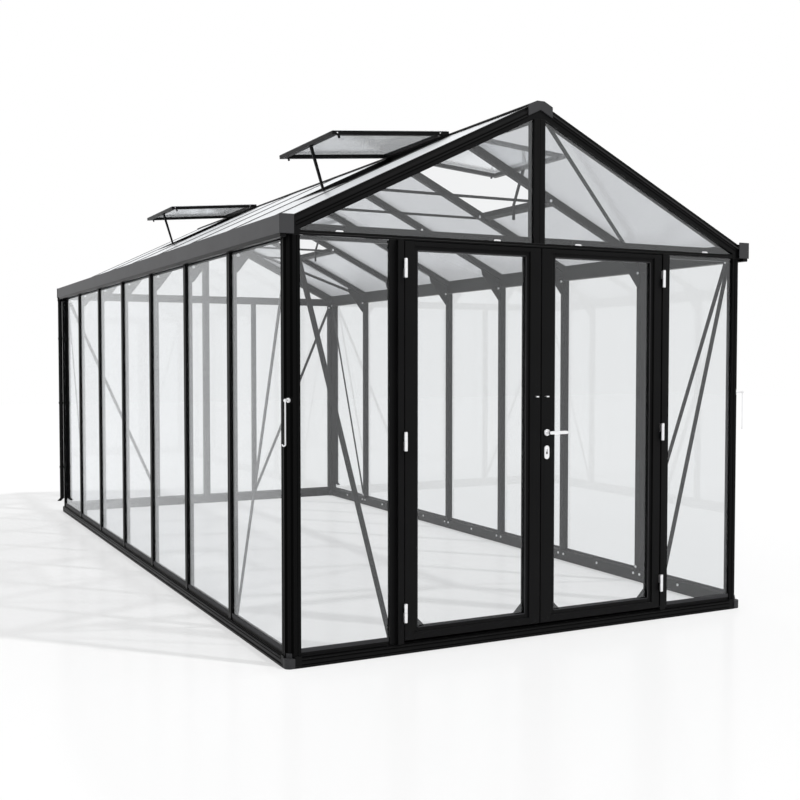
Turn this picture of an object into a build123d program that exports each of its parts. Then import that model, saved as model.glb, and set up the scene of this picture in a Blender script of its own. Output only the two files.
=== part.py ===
"""Glass greenhouse with a pitched roof, double doors and four roof vents, in millimetres.

+Z is up, the doors face -Y and the ridge runs along Y. The origin is on the ground under the middle.
"""

import math
import os

from build123d import *

os.makedirs("parts", exist_ok=True)

# Overall size
half_width = 1380
half_length = 2926
bay_count = 7
bay_pitch = 830
roof_edge_height = 2067
roof_angle = 26

# Glazing profile shared by walls and roof
glass_thickness = 4
glass_edge_gap = 2
cap_depth = 10
cap_width = 40
web_width = 12
body_depth = 30
cap_groove_width = 4
cap_groove_depth = 2
seat_depth = 12

# Base frame
base_height = 54
base_proud = 5
flange_height = 10
flange_proud = 5
bead_height = 32
bead_thickness = 4
casting_height = 46
casting_size = 76
casting_arm = 45
casting_round = 26
casting_proud = 4

# Corner posts
post_size = 70
post_chamfer = 34
post_groove_width = 4
post_groove_depth = 3
post_groove_share = 0.72

# Eaves and gutters
eave_beam_height = 60
gutter_drop = 67
gutter_height = 85
gutter_overhang = 32
gutter_wall = 4
gutter_inner_height = 50
gutter_cap_thickness = 5
gutter_cap_margin = 4
gutter_cap_reach = 35
gutter_end_proud = 12
roof_glass_overhang = 12
downpipe_radius = 18
downpipe_wall = 2
downpipe_gap = 1
downpipe_foot = 130
downpipe_bend = 30
shoe_length = 26

# Roof members
gable_rafter_depth = 70
gable_rafter_width = 50
rafter_step_depth = 28
rafter_step = 10
roof_cap_depth = 3
ridge_half_width = 30
ridge_cap_half_width = 46
ridge_cap_thickness = 8
ridge_flat_half_width = 22
ridge_end_width = 146
ridge_end_depth = 42
ridge_end_thickness = 8

# Collar ties, knee plates and braces
tie_drop = 360
tie_size = 16
tie_thickness = 5
tie_end = 24
knee_size = 150
knee_thickness = 8
brace_width = 26
brace_thickness = 5

# Roof vents
vent_inset_count = 1
vent_length = 735
vent_lift = 21
vent_sill_lap = 45
vent_bar = 34
vent_bar_depth = 22
vent_side_gap = 5
vent_hinge_rise = 1
vent_pane_margin = 6
sill_width = 40
sill_depth = 32
strut_size = 14
strut_tail = 60
vent_stop_size = 10
vent_stop_height = 15
vent_stop_side = 22
vent_stop_back = 45

# Gable walls
king_width = 75
king_cap_width = 68
transom_cap_height = 22
transom_drop = 70
transom_lap = 7
transom_body_rise = 31
head_stop_height = 42
foot_stop_height = 30
back_post_width = 60
back_bar_width = 40
back_bar_line = 495
pane_top_gap = 2

# Doors
side_light_width = 455
leaf_foot_gap = 15
leaf_head_gap = 6
leaf_depth = 44
leaf_setback = 3
meeting_gap = 6
hinge_stile_width = 50
meeting_stile_width = 64
leaf_bead = 24
leaf_bead_setback = 9
leaf_slot_depth = 8
leaf_glass_setback = 20
top_rail_height = 20
bottom_rail_height = 34
jamb_gap = 6
jamb_face = 32
jamb_step = 35
jamb_proud = 24
stop_gap = 6

# Hinges
hinge_height = 88
hinge_foot_inset = 136
hinge_head_inset = 129
hinge_radius = 9
hinge_forward = 12
hinge_pin_radius = 5
hinge_pin_clearance = 0.1
hinge_split_gap = 0.4
hinge_neck = 5

# Lever handle and lock
lever_height = 1052
lever_length = 114
lever_bar = 16
lever_thickness = 10
lever_forward = 34
lever_inset = 31
spindle_radius = 7
spindle_clearance = 0.1
rose_radius = 17
rose_thickness = 8
lock_height = 950
lock_width = 30
lock_tall = 70
lock_thickness = 6
eye_height = 1237
eye_length = 18
eye_width = 16
eye_thickness = 6
eye_hole_radius = 4
eye_inset = 28

# Wind hooks
hook_height = 1240
hook_standoff = 35
hook_plate_radius = 11
hook_plate_thickness = 4
hook_pin_radius = 4
hook_side_gap = 2
hook_head_radius = 6
hook_head_thickness = 3
hook_boss_radius = 8
hook_wire = 6
hook_length = 200
hook_bore_clearance = 0.1
hook_bend_radius = 8

# Worked-out positions
tan_roof = math.tan(math.radians(roof_angle))
cos_roof = math.cos(math.radians(roof_angle))
sin_roof = math.sin(math.radians(roof_angle))
apex_height = roof_edge_height + half_width * tan_roof
gutter_bottom = roof_edge_height - gutter_drop
gutter_top = gutter_bottom + gutter_height
gutter_inner_top = gutter_bottom + gutter_inner_height
transom_bottom = roof_edge_height - transom_drop
profile_depth = cap_depth + glass_thickness + body_depth
body_front = cap_depth + glass_thickness
roof_body_front = roof_cap_depth + glass_thickness
half_pitch_span = bay_pitch * bay_count / 2
bar_lines = [-half_pitch_span + bay_pitch * i for i in range(1, bay_count)]
wall_foot = base_height + bead_height
pane_foot = wall_foot - seat_depth
inner_wall = half_width - profile_depth
inner_end = half_length - profile_depth
glass_wall = half_width - body_front
glass_end = half_length - body_front
post_inner_x = half_width - post_size
post_inner_y = half_length - post_size
gutter_outer = half_width + gutter_overhang
jamb_outer = post_inner_x - side_light_width
jamb_inner = jamb_outer - jamb_step - jamb_face
leaf_outer = jamb_inner - jamb_gap
leaf_inner = meeting_gap / 2
hinge_axis_x = leaf_outer + jamb_gap / 2
jamb_face_y = -half_length - jamb_proud
hinge_axis_y = jamb_face_y - hinge_forward
leaf_bottom = base_height + leaf_foot_gap
leaf_top = transom_bottom - leaf_head_gap
hinge_low = leaf_bottom + hinge_foot_inset
hinge_high = leaf_top - hinge_head_inset
hinge_heights = (hinge_low, (hinge_low + hinge_high) / 2, hinge_high)
vent_bays = (vent_inset_count, bay_count - 1 - vent_inset_count)
leaf_front = jamb_face_y + leaf_setback
leaf_back = leaf_front + leaf_depth
pane_top = transom_bottom + transom_lap - pane_top_gap


def roof_z(x, depth):
    """Height of the roof surface at x, a depth below the tops of the caps."""
    return apex_height - tan_roof * abs(x) - depth / cos_roof


def roof_strip(x_high, x_low, depth_top, depth_low):
    """Side view of a strip of roof between two distances from the ridge and two depths."""
    return [
        (x_high, roof_z(x_high, depth_top)),
        (x_low, roof_z(x_low, depth_top)),
        (x_low, roof_z(x_low, depth_low)),
        (x_high, roof_z(x_high, depth_low)),
    ]


def bar_profile(width, inner_width):
    """Section of a glazing bar: outer cap with a groove, web, then the inner body."""
    half = width / 2
    inner = inner_width / 2
    groove = cap_groove_width / 2
    right = [
        (0, groove),
        (0, half),
        (cap_depth, half),
        (cap_depth, web_width / 2),
        (body_front, web_width / 2),
        (body_front, inner),
        (profile_depth, inner),
    ]
    left = [(u, -v) for u, v in reversed(right)]
    return [(cap_groove_depth, groove)] + right + left + [(cap_groove_depth, -groove)]


def diagonal_bar(start, end, width):
    """Four corners of a flat bar drawn from one point to another."""
    length = math.dist(start, end)
    side_u = -(end[1] - start[1]) / length * width / 2
    side_v = (end[0] - start[0]) / length * width / 2
    return [
        (start[0] + side_u, start[1] + side_v),
        (end[0] + side_u, end[1] + side_v),
        (end[0] - side_u, end[1] - side_v),
        (start[0] - side_u, start[1] - side_v),
    ]


# Base frame: stepped sill rails with a foot flange, between rounded corner castings
sill_side = [
    (half_width + base_proud + flange_proud, 0),
    (half_width + base_proud + flange_proud, flange_height),
    (half_width + base_proud, flange_height),
    (half_width + base_proud, base_height),
    (glass_wall + glass_thickness + bead_thickness, base_height),
    (glass_wall + glass_thickness + bead_thickness, wall_foot),
    (glass_wall + glass_thickness, wall_foot),
    (glass_wall + glass_thickness, pane_foot),
    (inner_wall, pane_foot),
    (inner_wall, 0),
]
sill_lip = sill_side[:4] + [(half_width, base_height), (half_width, 0)]
casting_outer_x = half_width + base_proud + casting_proud
casting_outer_y = half_length + base_proud + casting_proud
rail_end_y = half_length + base_proud - casting_size
lip_end_y = casting_outer_y - casting_arm
with BuildPart() as base_side_rails:
    with BuildSketch(Plane.XZ.offset(-rail_end_y)):
        Polygon(*sill_side, align=None)
    extrude(amount=2 * rail_end_y)
    with BuildSketch(Plane.XZ.offset(-lip_end_y)):
        Polygon(*sill_lip, align=None)
    extrude(amount=2 * lip_end_y)
    mirror(about=Plane.YZ)
base_side_rails.part.label = "base_side_rails"
export_step(base_side_rails.part, "parts/base_side_rails.step")

sill_shift = half_length - half_width
sill_end = [(u + sill_shift, v) for u, v in sill_side]
end_lip = [(u + sill_shift, v) for u, v in sill_lip]
rail_end_x = half_width + base_proud - casting_size
lip_end_x = casting_outer_x - casting_arm
threshold = [(-u, min(v, base_height)) for u, v in sill_end[:5]]
with BuildPart() as end_sills:
    with BuildSketch(Plane.YZ.offset(jamb_outer)):
        Polygon(*[(-u, v) for u, v in sill_end], align=None)
    extrude(amount=rail_end_x - jamb_outer)
    with BuildSketch(Plane.YZ.offset(jamb_outer)):
        Polygon(*[(-u, v) for u, v in end_lip], align=None)
    extrude(amount=lip_end_x - jamb_outer)
    mirror(about=Plane.YZ)
    with BuildSketch(Plane.YZ.offset(-rail_end_x)):
        Polygon(*sill_end, align=None)
    extrude(amount=2 * rail_end_x)
    with BuildSketch(Plane.YZ.offset(-lip_end_x)):
        Polygon(*end_lip, align=None)
    extrude(amount=2 * lip_end_x)
end_sills.part.label = "end_sills"
export_step(end_sills.part, "parts/end_sills.step")

with BuildPart() as door_threshold:
    with BuildSketch(Plane.YZ.offset(-jamb_outer)):
        Polygon(*threshold, (-inner_end, base_height), (-inner_end, 0), align=None)
    extrude(amount=2 * jamb_outer)
door_threshold.part.label = "door_threshold"
export_step(door_threshold.part, "parts/door_threshold.step")

# Corner castings: low blocks under the posts, with a rounded nose between the ends of the sill lips
casting_plan = [
    (rail_end_x, rail_end_y),
    (half_width, rail_end_y),
    (half_width, lip_end_y),
    (casting_outer_x, lip_end_y),
    (casting_outer_x, casting_outer_y),
    (lip_end_x, casting_outer_y),
    (lip_end_x, half_length),
    (rail_end_x, half_length),
]
with BuildPart() as base_corners:
    with BuildSketch():
        Polygon(*casting_plan, align=None)
    extrude(amount=casting_height)
    outer_edge = base_corners.edges().filter_by(Axis.Z).sort_by(SortBy.DISTANCE)[-1]
    fillet(outer_edge, radius=casting_round)
    mirror(about=Plane.YZ)
    mirror(about=Plane.XZ)
base_corners.part.label = "base_corners"
export_step(base_corners.part, "parts/base_corners.step")

# Corner posts: a broad chamfer, a groove on each outer face and a glass slot on each inner edge
groove_line = post_groove_share * post_size
face_run = [
    (post_chamfer, 0),
    (groove_line, 0),
    (groove_line, post_groove_depth),
    (groove_line + post_groove_width, post_groove_depth),
    (groove_line + post_groove_width, 0),
    (post_size, 0),
    (post_size, cap_depth),
    (post_size - seat_depth, cap_depth),
    (post_size - seat_depth, body_front),
    (post_size, body_front),
]
post_inside = [(post_size, profile_depth), (profile_depth, profile_depth), (profile_depth, post_size)]
post_section = face_run + post_inside + [(v, u) for u, v in reversed(face_run)]
post_top = roof_z(half_width - body_front, gable_rafter_depth)
with BuildPart() as corner_posts:
    with BuildSketch(Plane.XY.offset(casting_height)):
        Polygon(*[(half_width - u, half_length - v) for u, v in post_section], align=None)
    extrude(amount=post_top - casting_height)
    mirror(about=Plane.YZ)
    mirror(about=Plane.XZ)
corner_posts.part.label = "corner_posts"
export_step(corner_posts.part, "parts/corner_posts.step")

# Side wall bars: grooved cap outside, body of the same width inside, the cap lapping over the sill bead
side_bar = bar_profile(cap_width, cap_width)
eave_beam_bottom = roof_z(inner_wall, profile_depth) - eave_beam_height
bead_face = glass_wall + glass_thickness + bead_thickness
with BuildPart() as side_wall_bars:
    for line in bar_lines:
        with BuildSketch(Plane.XY.offset(wall_foot)):
            Polygon(*[(-half_width + u, line + v) for u, v in side_bar], align=None)
        extrude(amount=eave_beam_bottom - wall_foot)
        with BuildSketch(Plane.XY.offset(eave_beam_bottom)):
            with Locations((-half_width + (cap_groove_depth + cap_depth) / 2, line)):
                Rectangle(cap_depth - cap_groove_depth, cap_width)
            with Locations((-glass_wall - glass_thickness / 2, line)):
                Rectangle(glass_thickness, web_width)
        extrude(amount=gutter_bottom - eave_beam_bottom)
        with BuildSketch(Plane.XY.offset(base_height)):
            with Locations((-(half_width + bead_face) / 2, line)):
                Rectangle(half_width - bead_face, cap_width)
        extrude(amount=bead_height)
        with BuildSketch(Plane.XY.offset(pane_foot)):
            with Locations((-(glass_wall + inner_wall) / 2, line)):
                Rectangle(body_depth, cap_width)
        extrude(amount=seat_depth)
    mirror(about=Plane.YZ)
side_wall_bars.part.label = "side_wall_bars"
export_step(side_wall_bars.part, "parts/side_wall_bars.step")

# Side wall glass: one pane to each bay, seated in the slots of bars, posts and sill
post_slot_y = half_length - post_size + seat_depth - glass_edge_gap
bay_edges = [-post_slot_y] + bar_lines + [post_slot_y]
pane_gap = web_width / 2 + glass_edge_gap
with BuildPart() as side_wall_glass:
    for i in range(bay_count):
        low = bay_edges[i] + (pane_gap if i > 0 else 0)
        high = bay_edges[i + 1] - (pane_gap if i < bay_count - 1 else 0)
        with BuildSketch(Plane.XY.offset(pane_foot)):
            with Locations((-glass_wall - glass_thickness / 2, (low + high) / 2)):
                Rectangle(glass_thickness, high - low)
        extrude(amount=gutter_bottom - pane_foot)
    mirror(about=Plane.YZ)
side_wall_glass.part.label = "side_wall_glass"
export_step(side_wall_glass.part, "parts/side_wall_glass.step")

# Eave beams: on top of the wall bars, up to the roof panes, notched for the feet of the rafters
eave_section = [
    (inner_wall, eave_beam_bottom),
    (glass_wall, eave_beam_bottom),
    (glass_wall, roof_z(glass_wall, roof_body_front)),
    (inner_wall, roof_z(inner_wall, roof_body_front)),
]
rafter_notch = roof_strip(inner_wall, glass_wall, roof_body_front, profile_depth)
with BuildPart() as eave_beams:
    with BuildSketch(Plane.XZ.offset(-post_inner_y)):
        Polygon(*eave_section, align=None)
    extrude(amount=2 * post_inner_y)
    for line in bar_lines:
        with BuildSketch(Plane.XZ.offset(-line - cap_width / 2)):
            Polygon(*rafter_notch, align=None)
        extrude(amount=cap_width, mode=Mode.SUBTRACT)
    mirror(about=Plane.YZ)
eave_beams.part.label = "eave_beams"
export_step(eave_beams.part, "parts/eave_beams.step")

# Gutters: open channels along the eaves, closed at the ends by caps
gutter_section = [
    (glass_wall, gutter_bottom),
    (gutter_outer, gutter_bottom),
    (gutter_outer, gutter_top),
    (gutter_outer - gutter_wall, gutter_top),
    (gutter_outer - gutter_wall, gutter_bottom + gutter_wall),
    (glass_wall + gutter_wall, gutter_bottom + gutter_wall),
    (glass_wall + gutter_wall, gutter_inner_top),
    (glass_wall, gutter_inner_top),
]
gutter_half_length = half_length + gutter_end_proud
with BuildPart() as gutters:
    with BuildSketch(Plane.XZ.offset(-gutter_half_length)):
        Polygon(*[(-u, v) for u, v in gutter_section], align=None)
    extrude(amount=2 * gutter_half_length)
    mirror(about=Plane.YZ)
gutters.part.label = "gutters"
export_step(gutters.part, "parts/gutters.step")

gutter_cap_left = half_width - gutter_cap_reach
gutter_cap_right = gutter_outer + gutter_cap_margin
with BuildPart() as gutter_end_caps:
    with BuildSketch(Plane.XZ.offset(gutter_half_length)):
        with Locations(((gutter_cap_left + gutter_cap_right) / 2, (gutter_bottom + gutter_top) / 2)):
            Rectangle(gutter_cap_right - gutter_cap_left, gutter_top - gutter_bottom + gutter_cap_margin)
    extrude(amount=gutter_cap_thickness)
    mirror(about=Plane.YZ)
    mirror(about=Plane.XZ)
gutter_end_caps.part.label = "gutter_end_caps"
export_step(gutter_end_caps.part, "parts/gutter_end_caps.step")

# Downpipes: one below the back end of each gutter, with a bent shoe at the foot
downpipe_x = half_width + downpipe_gap + downpipe_radius
downpipe_y = half_length - post_size / 2
with BuildPart() as downpipes:
    with BuildLine() as pipe_line:
        Polyline(
            (downpipe_x, downpipe_y, gutter_bottom),
            (downpipe_x, downpipe_y, downpipe_foot),
            (downpipe_x + shoe_length, downpipe_y, downpipe_foot - shoe_length),
        )
        fillet(pipe_line.vertices()[1], radius=downpipe_bend)
    with BuildSketch(Plane.XY.offset(gutter_bottom)):
        with Locations((downpipe_x, downpipe_y)):
            Circle(downpipe_radius)
            Circle(downpipe_radius - downpipe_wall, mode=Mode.SUBTRACT)
    sweep()
    mirror(about=Plane.YZ)
downpipes.part.label = "downpipes"
export_step(downpipes.part, "parts/downpipes.step")

# Ridge beam: a deep bar with a capping that laps over the tops of the rafters
ridge_bottom = roof_z(ridge_half_width, gable_rafter_depth)
ridge_section = [
    (ridge_half_width, ridge_bottom),
    (ridge_half_width, roof_z(ridge_half_width, 0)),
    (ridge_cap_half_width, roof_z(ridge_cap_half_width, 0)),
    (ridge_cap_half_width, roof_z(ridge_cap_half_width, -ridge_cap_thickness)),
    (ridge_flat_half_width, roof_z(ridge_flat_half_width, -ridge_cap_thickness)),
]
ridge_outline = ridge_section + [(-u, v) for u, v in reversed(ridge_section)]
with BuildPart() as ridge_beam:
    with BuildSketch(Plane.XZ.offset(-half_length)):
        Polygon(*ridge_outline, align=None)
    extrude(amount=2 * half_length)
ridge_beam.part.label = "ridge_beam"
export_step(ridge_beam.part, "parts/ridge_beam.step")

# Gable rafters: deep end bars seated on the corner posts, their faces stepped back along the top
gable_slot_depth = gable_rafter_depth - seat_depth
gable_outline = [
    (ridge_half_width, roof_z(ridge_half_width, 0)),
    (glass_wall, roof_z(glass_wall, 0)),
    (glass_wall, post_top),
    (post_inner_x, post_top),
    (post_inner_x, roof_z(post_inner_x, gable_rafter_depth)),
    (ridge_half_width, roof_z(ridge_half_width, gable_rafter_depth)),
]
pane_groove = roof_strip(ridge_half_width, post_inner_x, gable_slot_depth, gable_rafter_depth)
face_step = roof_strip(ridge_half_width, glass_wall, 0, rafter_step_depth)
roof_slot = roof_strip(ridge_half_width, glass_wall, roof_cap_depth, roof_body_front)
seat_notch = [
    (post_inner_x, post_top),
    (post_inner_x + seat_depth, post_top),
    (post_inner_x + seat_depth, pane_top + pane_top_gap),
    (post_inner_x, pane_top + pane_top_gap),
]
with BuildPart() as gable_rafters:
    with BuildSketch(Plane.XZ.offset(half_length - gable_rafter_width)):
        Polygon(*gable_outline, align=None)
    extrude(amount=gable_rafter_width)
    with BuildSketch(Plane.XZ.offset(glass_end)):
        Polygon(*pane_groove, align=None)
        Polygon(*seat_notch, align=None)
    extrude(amount=glass_thickness, mode=Mode.SUBTRACT)
    with BuildSketch(Plane.XZ.offset(half_length - rafter_step)):
        Polygon(*face_step, align=None)
    extrude(amount=rafter_step, mode=Mode.SUBTRACT)
    with BuildSketch(Plane.XZ.offset(half_length - gable_rafter_width)):
        Polygon(*roof_slot, align=None)
    extrude(amount=seat_depth, mode=Mode.SUBTRACT)
    mirror(about=Plane.YZ)
    mirror(about=Plane.XZ)
gable_rafters.part.label = "gable_rafters"
export_step(gable_rafters.part, "parts/gable_rafters.step")

# Ridge end caps: blunt chevrons over the meeting of the gable rafters
end_half = ridge_end_width / 2
end_right = [
    (0, roof_z(0, ridge_end_depth)),
    (end_half, roof_z(end_half, ridge_end_depth)),
    (end_half, roof_z(end_half, -ridge_cap_thickness)),
    (ridge_flat_half_width, roof_z(ridge_flat_half_width, -ridge_cap_thickness)),
]
ridge_end_outline = end_right + [(-u, v) for u, v in reversed(end_right[1:])]
with BuildPart() as ridge_end_caps:
    with BuildSketch(Plane.XZ.offset(half_length)):
        Polygon(*ridge_end_outline, align=None)
    extrude(amount=ridge_end_thickness)
    mirror(about=Plane.XZ)
ridge_end_caps.part.label = "ridge_end_caps"
export_step(ridge_end_caps.part, "parts/ridge_end_caps.step")

# Roof rafters: glazing bars from the ridge to the gutters, one pair on each line of wall bars
cap_low = glass_wall + roof_glass_overhang
with BuildPart() as roof_rafters:
    for line in bar_lines:
        with BuildSketch(Plane.XZ.offset(-line - cap_width / 2)):
            Polygon(*roof_strip(-ridge_cap_half_width, -cap_low, 0, roof_cap_depth), align=None)
            Polygon(*roof_strip(-ridge_half_width, -glass_wall, roof_body_front, profile_depth), align=None)
        extrude(amount=cap_width)
        with BuildSketch(Plane.XZ.offset(-line - web_width / 2)):
            Polygon(*roof_strip(-ridge_half_width, -glass_wall, roof_cap_depth, roof_body_front), align=None)
        extrude(amount=web_width)
    mirror(about=Plane.YZ)
roof_rafters.part.label = "roof_rafters"
export_step(roof_rafters.part, "parts/roof_rafters.step")

# Vent sills: bars across the vent bays that the panes below and the struts stand on
sill_high = ridge_cap_half_width + (vent_length - vent_sill_lap) * cos_roof
sill_low = sill_high + sill_width * cos_roof
sill_slot = roof_strip(sill_low - seat_depth * cos_roof, sill_low, roof_cap_depth, roof_body_front)
sill_top = roof_cap_depth / 2
with BuildPart() as vent_sills:
    for bay in vent_bays:
        low = bar_lines[bay - 1] + cap_width / 2
        high = bar_lines[bay] - cap_width / 2
        with BuildSketch(Plane.XZ.offset(-high)):
            Polygon(*roof_strip(sill_high, sill_low, sill_top, sill_depth), align=None)
            Polygon(*sill_slot, align=None, mode=Mode.SUBTRACT)
        extrude(amount=high - low)
    mirror(about=Plane.YZ)
vent_sills.part.label = "vent_sills"
export_step(vent_sills.part, "parts/vent_sills.step")

# Roof glass: one pane to each bay, shorter below the vents
roof_edge = half_length - gable_rafter_width + seat_depth - glass_edge_gap
roof_bays = [-roof_edge] + bar_lines + [roof_edge]
pane_low = glass_wall + roof_glass_overhang
with BuildPart() as roof_glass:
    for i in range(bay_count):
        low = roof_bays[i] + (pane_gap if i > 0 else 0)
        high = roof_bays[i + 1] - (pane_gap if i < bay_count - 1 else 0)
        vented = i in vent_bays
        top = sill_low - (seat_depth - glass_edge_gap) * cos_roof if vented else ridge_half_width
        with BuildSketch(Plane.XZ.offset(-high)):
            Polygon(*roof_strip(-top, -pane_low, roof_cap_depth, roof_body_front), align=None)
        extrude(amount=high - low)
    mirror(about=Plane.YZ)
roof_glass.part.label = "roof_glass"
export_step(roof_glass.part, "parts/roof_glass.step")

# Roof vents: light frames hinged along the ridge capping and held open on struts
vent_slope = math.radians(roof_angle - vent_lift)
vent_root_x = ridge_cap_half_width
vent_root_z = roof_z(ridge_cap_half_width, 0) + vent_hinge_rise


def vent_point(along, rise):
    """A point on the side view of an open vent, along it from the hinge and above its underside."""
    return (
        vent_root_x + along * math.cos(vent_slope) + rise * math.sin(vent_slope),
        vent_root_z - along * math.sin(vent_slope) + rise * math.cos(vent_slope),
    )


def vent_strip(start, end, rise_low, rise_high):
    """Side view of a piece of an open vent."""
    return [
        vent_point(start, rise_low),
        vent_point(end, rise_low),
        vent_point(end, rise_high),
        vent_point(start, rise_high),
    ]


vent_lines = [(bar_lines[bay - 1] + vent_side_gap, bar_lines[bay] - vent_side_gap) for bay in vent_bays]
with BuildPart() as vent_side_bars:
    for low, high in vent_lines:
        for start in (low, high - vent_bar):
            with BuildSketch(Plane.XZ.offset(-start - vent_bar)):
                Polygon(*vent_strip(0, vent_length, 0, vent_bar_depth), align=None)
            extrude(amount=vent_bar)
    mirror(about=Plane.YZ)
vent_side_bars.part.label = "vent_side_bars"
export_step(vent_side_bars.part, "parts/vent_side_bars.step")

with BuildPart() as vent_cross_bars:
    for low, high in vent_lines:
        with BuildSketch(Plane.XZ.offset(-high + vent_bar)):
            Polygon(*vent_strip(0, vent_bar, 0, vent_bar_depth), align=None)
            Polygon(*vent_strip(vent_length - vent_bar, vent_length, 0, vent_bar_depth), align=None)
        extrude(amount=high - low - 2 * vent_bar)
    mirror(about=Plane.YZ)
vent_cross_bars.part.label = "vent_cross_bars"
export_step(vent_cross_bars.part, "parts/vent_cross_bars.step")

pane_start = vent_pane_margin
pane_end = vent_length - vent_pane_margin
with BuildPart() as vent_glass:
    for low, high in vent_lines:
        with BuildSketch(Plane.XZ.offset(-high + vent_pane_margin)):
            Polygon(
                *vent_strip(pane_start, pane_end, vent_bar_depth, vent_bar_depth + glass_thickness),
                align=None,
            )
        extrude(amount=high - low - 2 * vent_pane_margin)
    mirror(about=Plane.YZ)
vent_glass.part.label = "vent_glass"
export_step(vent_glass.part, "parts/vent_glass.step")

# Vent struts and stops: a bent strut from inside each sill to the free bar, and a stop near each free corner
head_x, head_z = vent_point(vent_length - vent_bar, 0)
foot_x = sill_high - strut_size
knee_z = roof_z(sill_high, sill_top)
tail_z = roof_z(sill_high, sill_depth) - strut_tail
strut_side = [
    (foot_x, tail_z),
    (sill_high, tail_z),
    (sill_high, knee_z),
    (head_x, head_z),
    (head_x, head_z + strut_size),
    (head_x - strut_size, head_z + strut_size),
    (foot_x, knee_z),
]
stop_end = vent_length - vent_stop_back
with BuildPart() as vent_struts:
    for low, high in vent_lines:
        with BuildSketch(Plane.XZ.offset(-(low + high + strut_size) / 2)):
            Polygon(*strut_side, align=None)
        extrude(amount=strut_size)
    for low, high in vent_lines:
        for start in (low + vent_stop_side, high - vent_stop_side - vent_stop_size):
            with BuildSketch(Plane.XZ.offset(-start - vent_stop_size)):
                Polygon(*vent_strip(stop_end - vent_stop_size, stop_end, -vent_stop_height, 0), align=None)
            extrude(amount=vent_stop_size)
    mirror(about=Plane.YZ)
vent_struts.part.label = "vent_struts"
export_step(vent_struts.part, "parts/vent_struts.step")

# Collar ties: flat bars across each rafter pair, fixed to the rafter sides
tie_height = apex_height - tie_drop
tie_half_span = (tie_drop - profile_depth / cos_roof) / tan_roof + tie_end
with BuildPart() as collar_ties:
    for line in bar_lines:
        with BuildSketch(Plane.XZ.offset(-line - cap_width / 2 - tie_thickness)):
            with Locations((0, tie_height)):
                Rectangle(2 * tie_half_span, tie_size)
        extrude(amount=tie_thickness)
collar_ties.part.label = "collar_ties"
export_step(collar_ties.part, "parts/collar_ties.step")

# Knee plates: triangles between wall bar, eave beam and rafter
knee_outline = [
    (inner_wall, roof_z(inner_wall, profile_depth) - eave_beam_height - knee_size / 2),
    (inner_wall, roof_z(inner_wall, profile_depth)),
    (inner_wall - knee_size, roof_z(inner_wall - knee_size, profile_depth)),
]
with BuildPart() as knee_plates:
    for line in bar_lines:
        with BuildSketch(Plane.XZ.offset(-line - knee_thickness / 2)):
            Polygon(*knee_outline, align=None)
        extrude(amount=knee_thickness)
    mirror(about=Plane.YZ)
knee_plates.part.label = "knee_plates"
export_step(knee_plates.part, "parts/knee_plates.step")

# Wall braces: flat bars inside the glass from the top of each corner post to the foot of the next upright
brace_foot = base_height + brace_width / 2
side_brace = diagonal_bar(
    (post_inner_y, eave_beam_bottom + brace_width),
    (bar_lines[-1] - brace_width / 2, brace_foot),
    brace_width,
)
end_brace_top = (post_inner_x + brace_width / 2, transom_bottom - brace_width / 2)
front_brace = diagonal_bar(end_brace_top, (jamb_outer - brace_width, brace_foot), brace_width)
back_brace = diagonal_bar(end_brace_top, (back_bar_line - brace_width / 2, brace_foot), brace_width)
with BuildPart() as wall_braces:
    with BuildSketch(Plane.YZ.offset(inner_wall - brace_thickness)):
        Polygon(*side_brace, align=None)
    extrude(amount=brace_thickness)
    mirror(about=Plane.XZ)
    with BuildSketch(Plane.XZ.offset(inner_end - brace_thickness)):
        Polygon(*front_brace, align=None)
    extrude(amount=brace_thickness)
    with BuildSketch(Plane.XZ.offset(-inner_end)):
        Polygon(*back_brace, align=None)
    extrude(amount=brace_thickness)
    mirror(about=Plane.YZ)
wall_braces.part.label = "wall_braces"
export_step(wall_braces.part, "parts/wall_braces.step")

# Roof braces: flat bars under the rafters across each end bay
roof_plane = Plane(
    origin=(-profile_depth * sin_roof, 0, apex_height - profile_depth * cos_roof),
    x_dir=(cos_roof, 0, -sin_roof),
    z_dir=(sin_roof, 0, cos_roof),
)
ridge_reach = (ridge_half_width + 2 * brace_width) / cos_roof
eave_reach = (inner_wall - brace_width) / cos_roof
brace_start = half_length - gable_rafter_width
brace_end = bar_lines[-1] + knee_thickness
brace_run = math.dist((ridge_reach, brace_start), (eave_reach, brace_end))
brace_slice = brace_width / 2 * brace_run / (brace_start - brace_end)
roof_brace = [
    (ridge_reach - brace_slice, brace_start),
    (ridge_reach + brace_slice, brace_start),
    (eave_reach + brace_slice, brace_end),
    (eave_reach - brace_slice, brace_end),
]
with BuildPart() as roof_braces:
    with BuildSketch(roof_plane):
        Polygon(*roof_brace, align=None)
    extrude(amount=-brace_thickness)
    mirror(about=Plane.YZ)
    mirror(about=Plane.XZ)
roof_braces.part.label = "roof_braces"
export_step(roof_braces.part, "parts/roof_braces.step")

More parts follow.
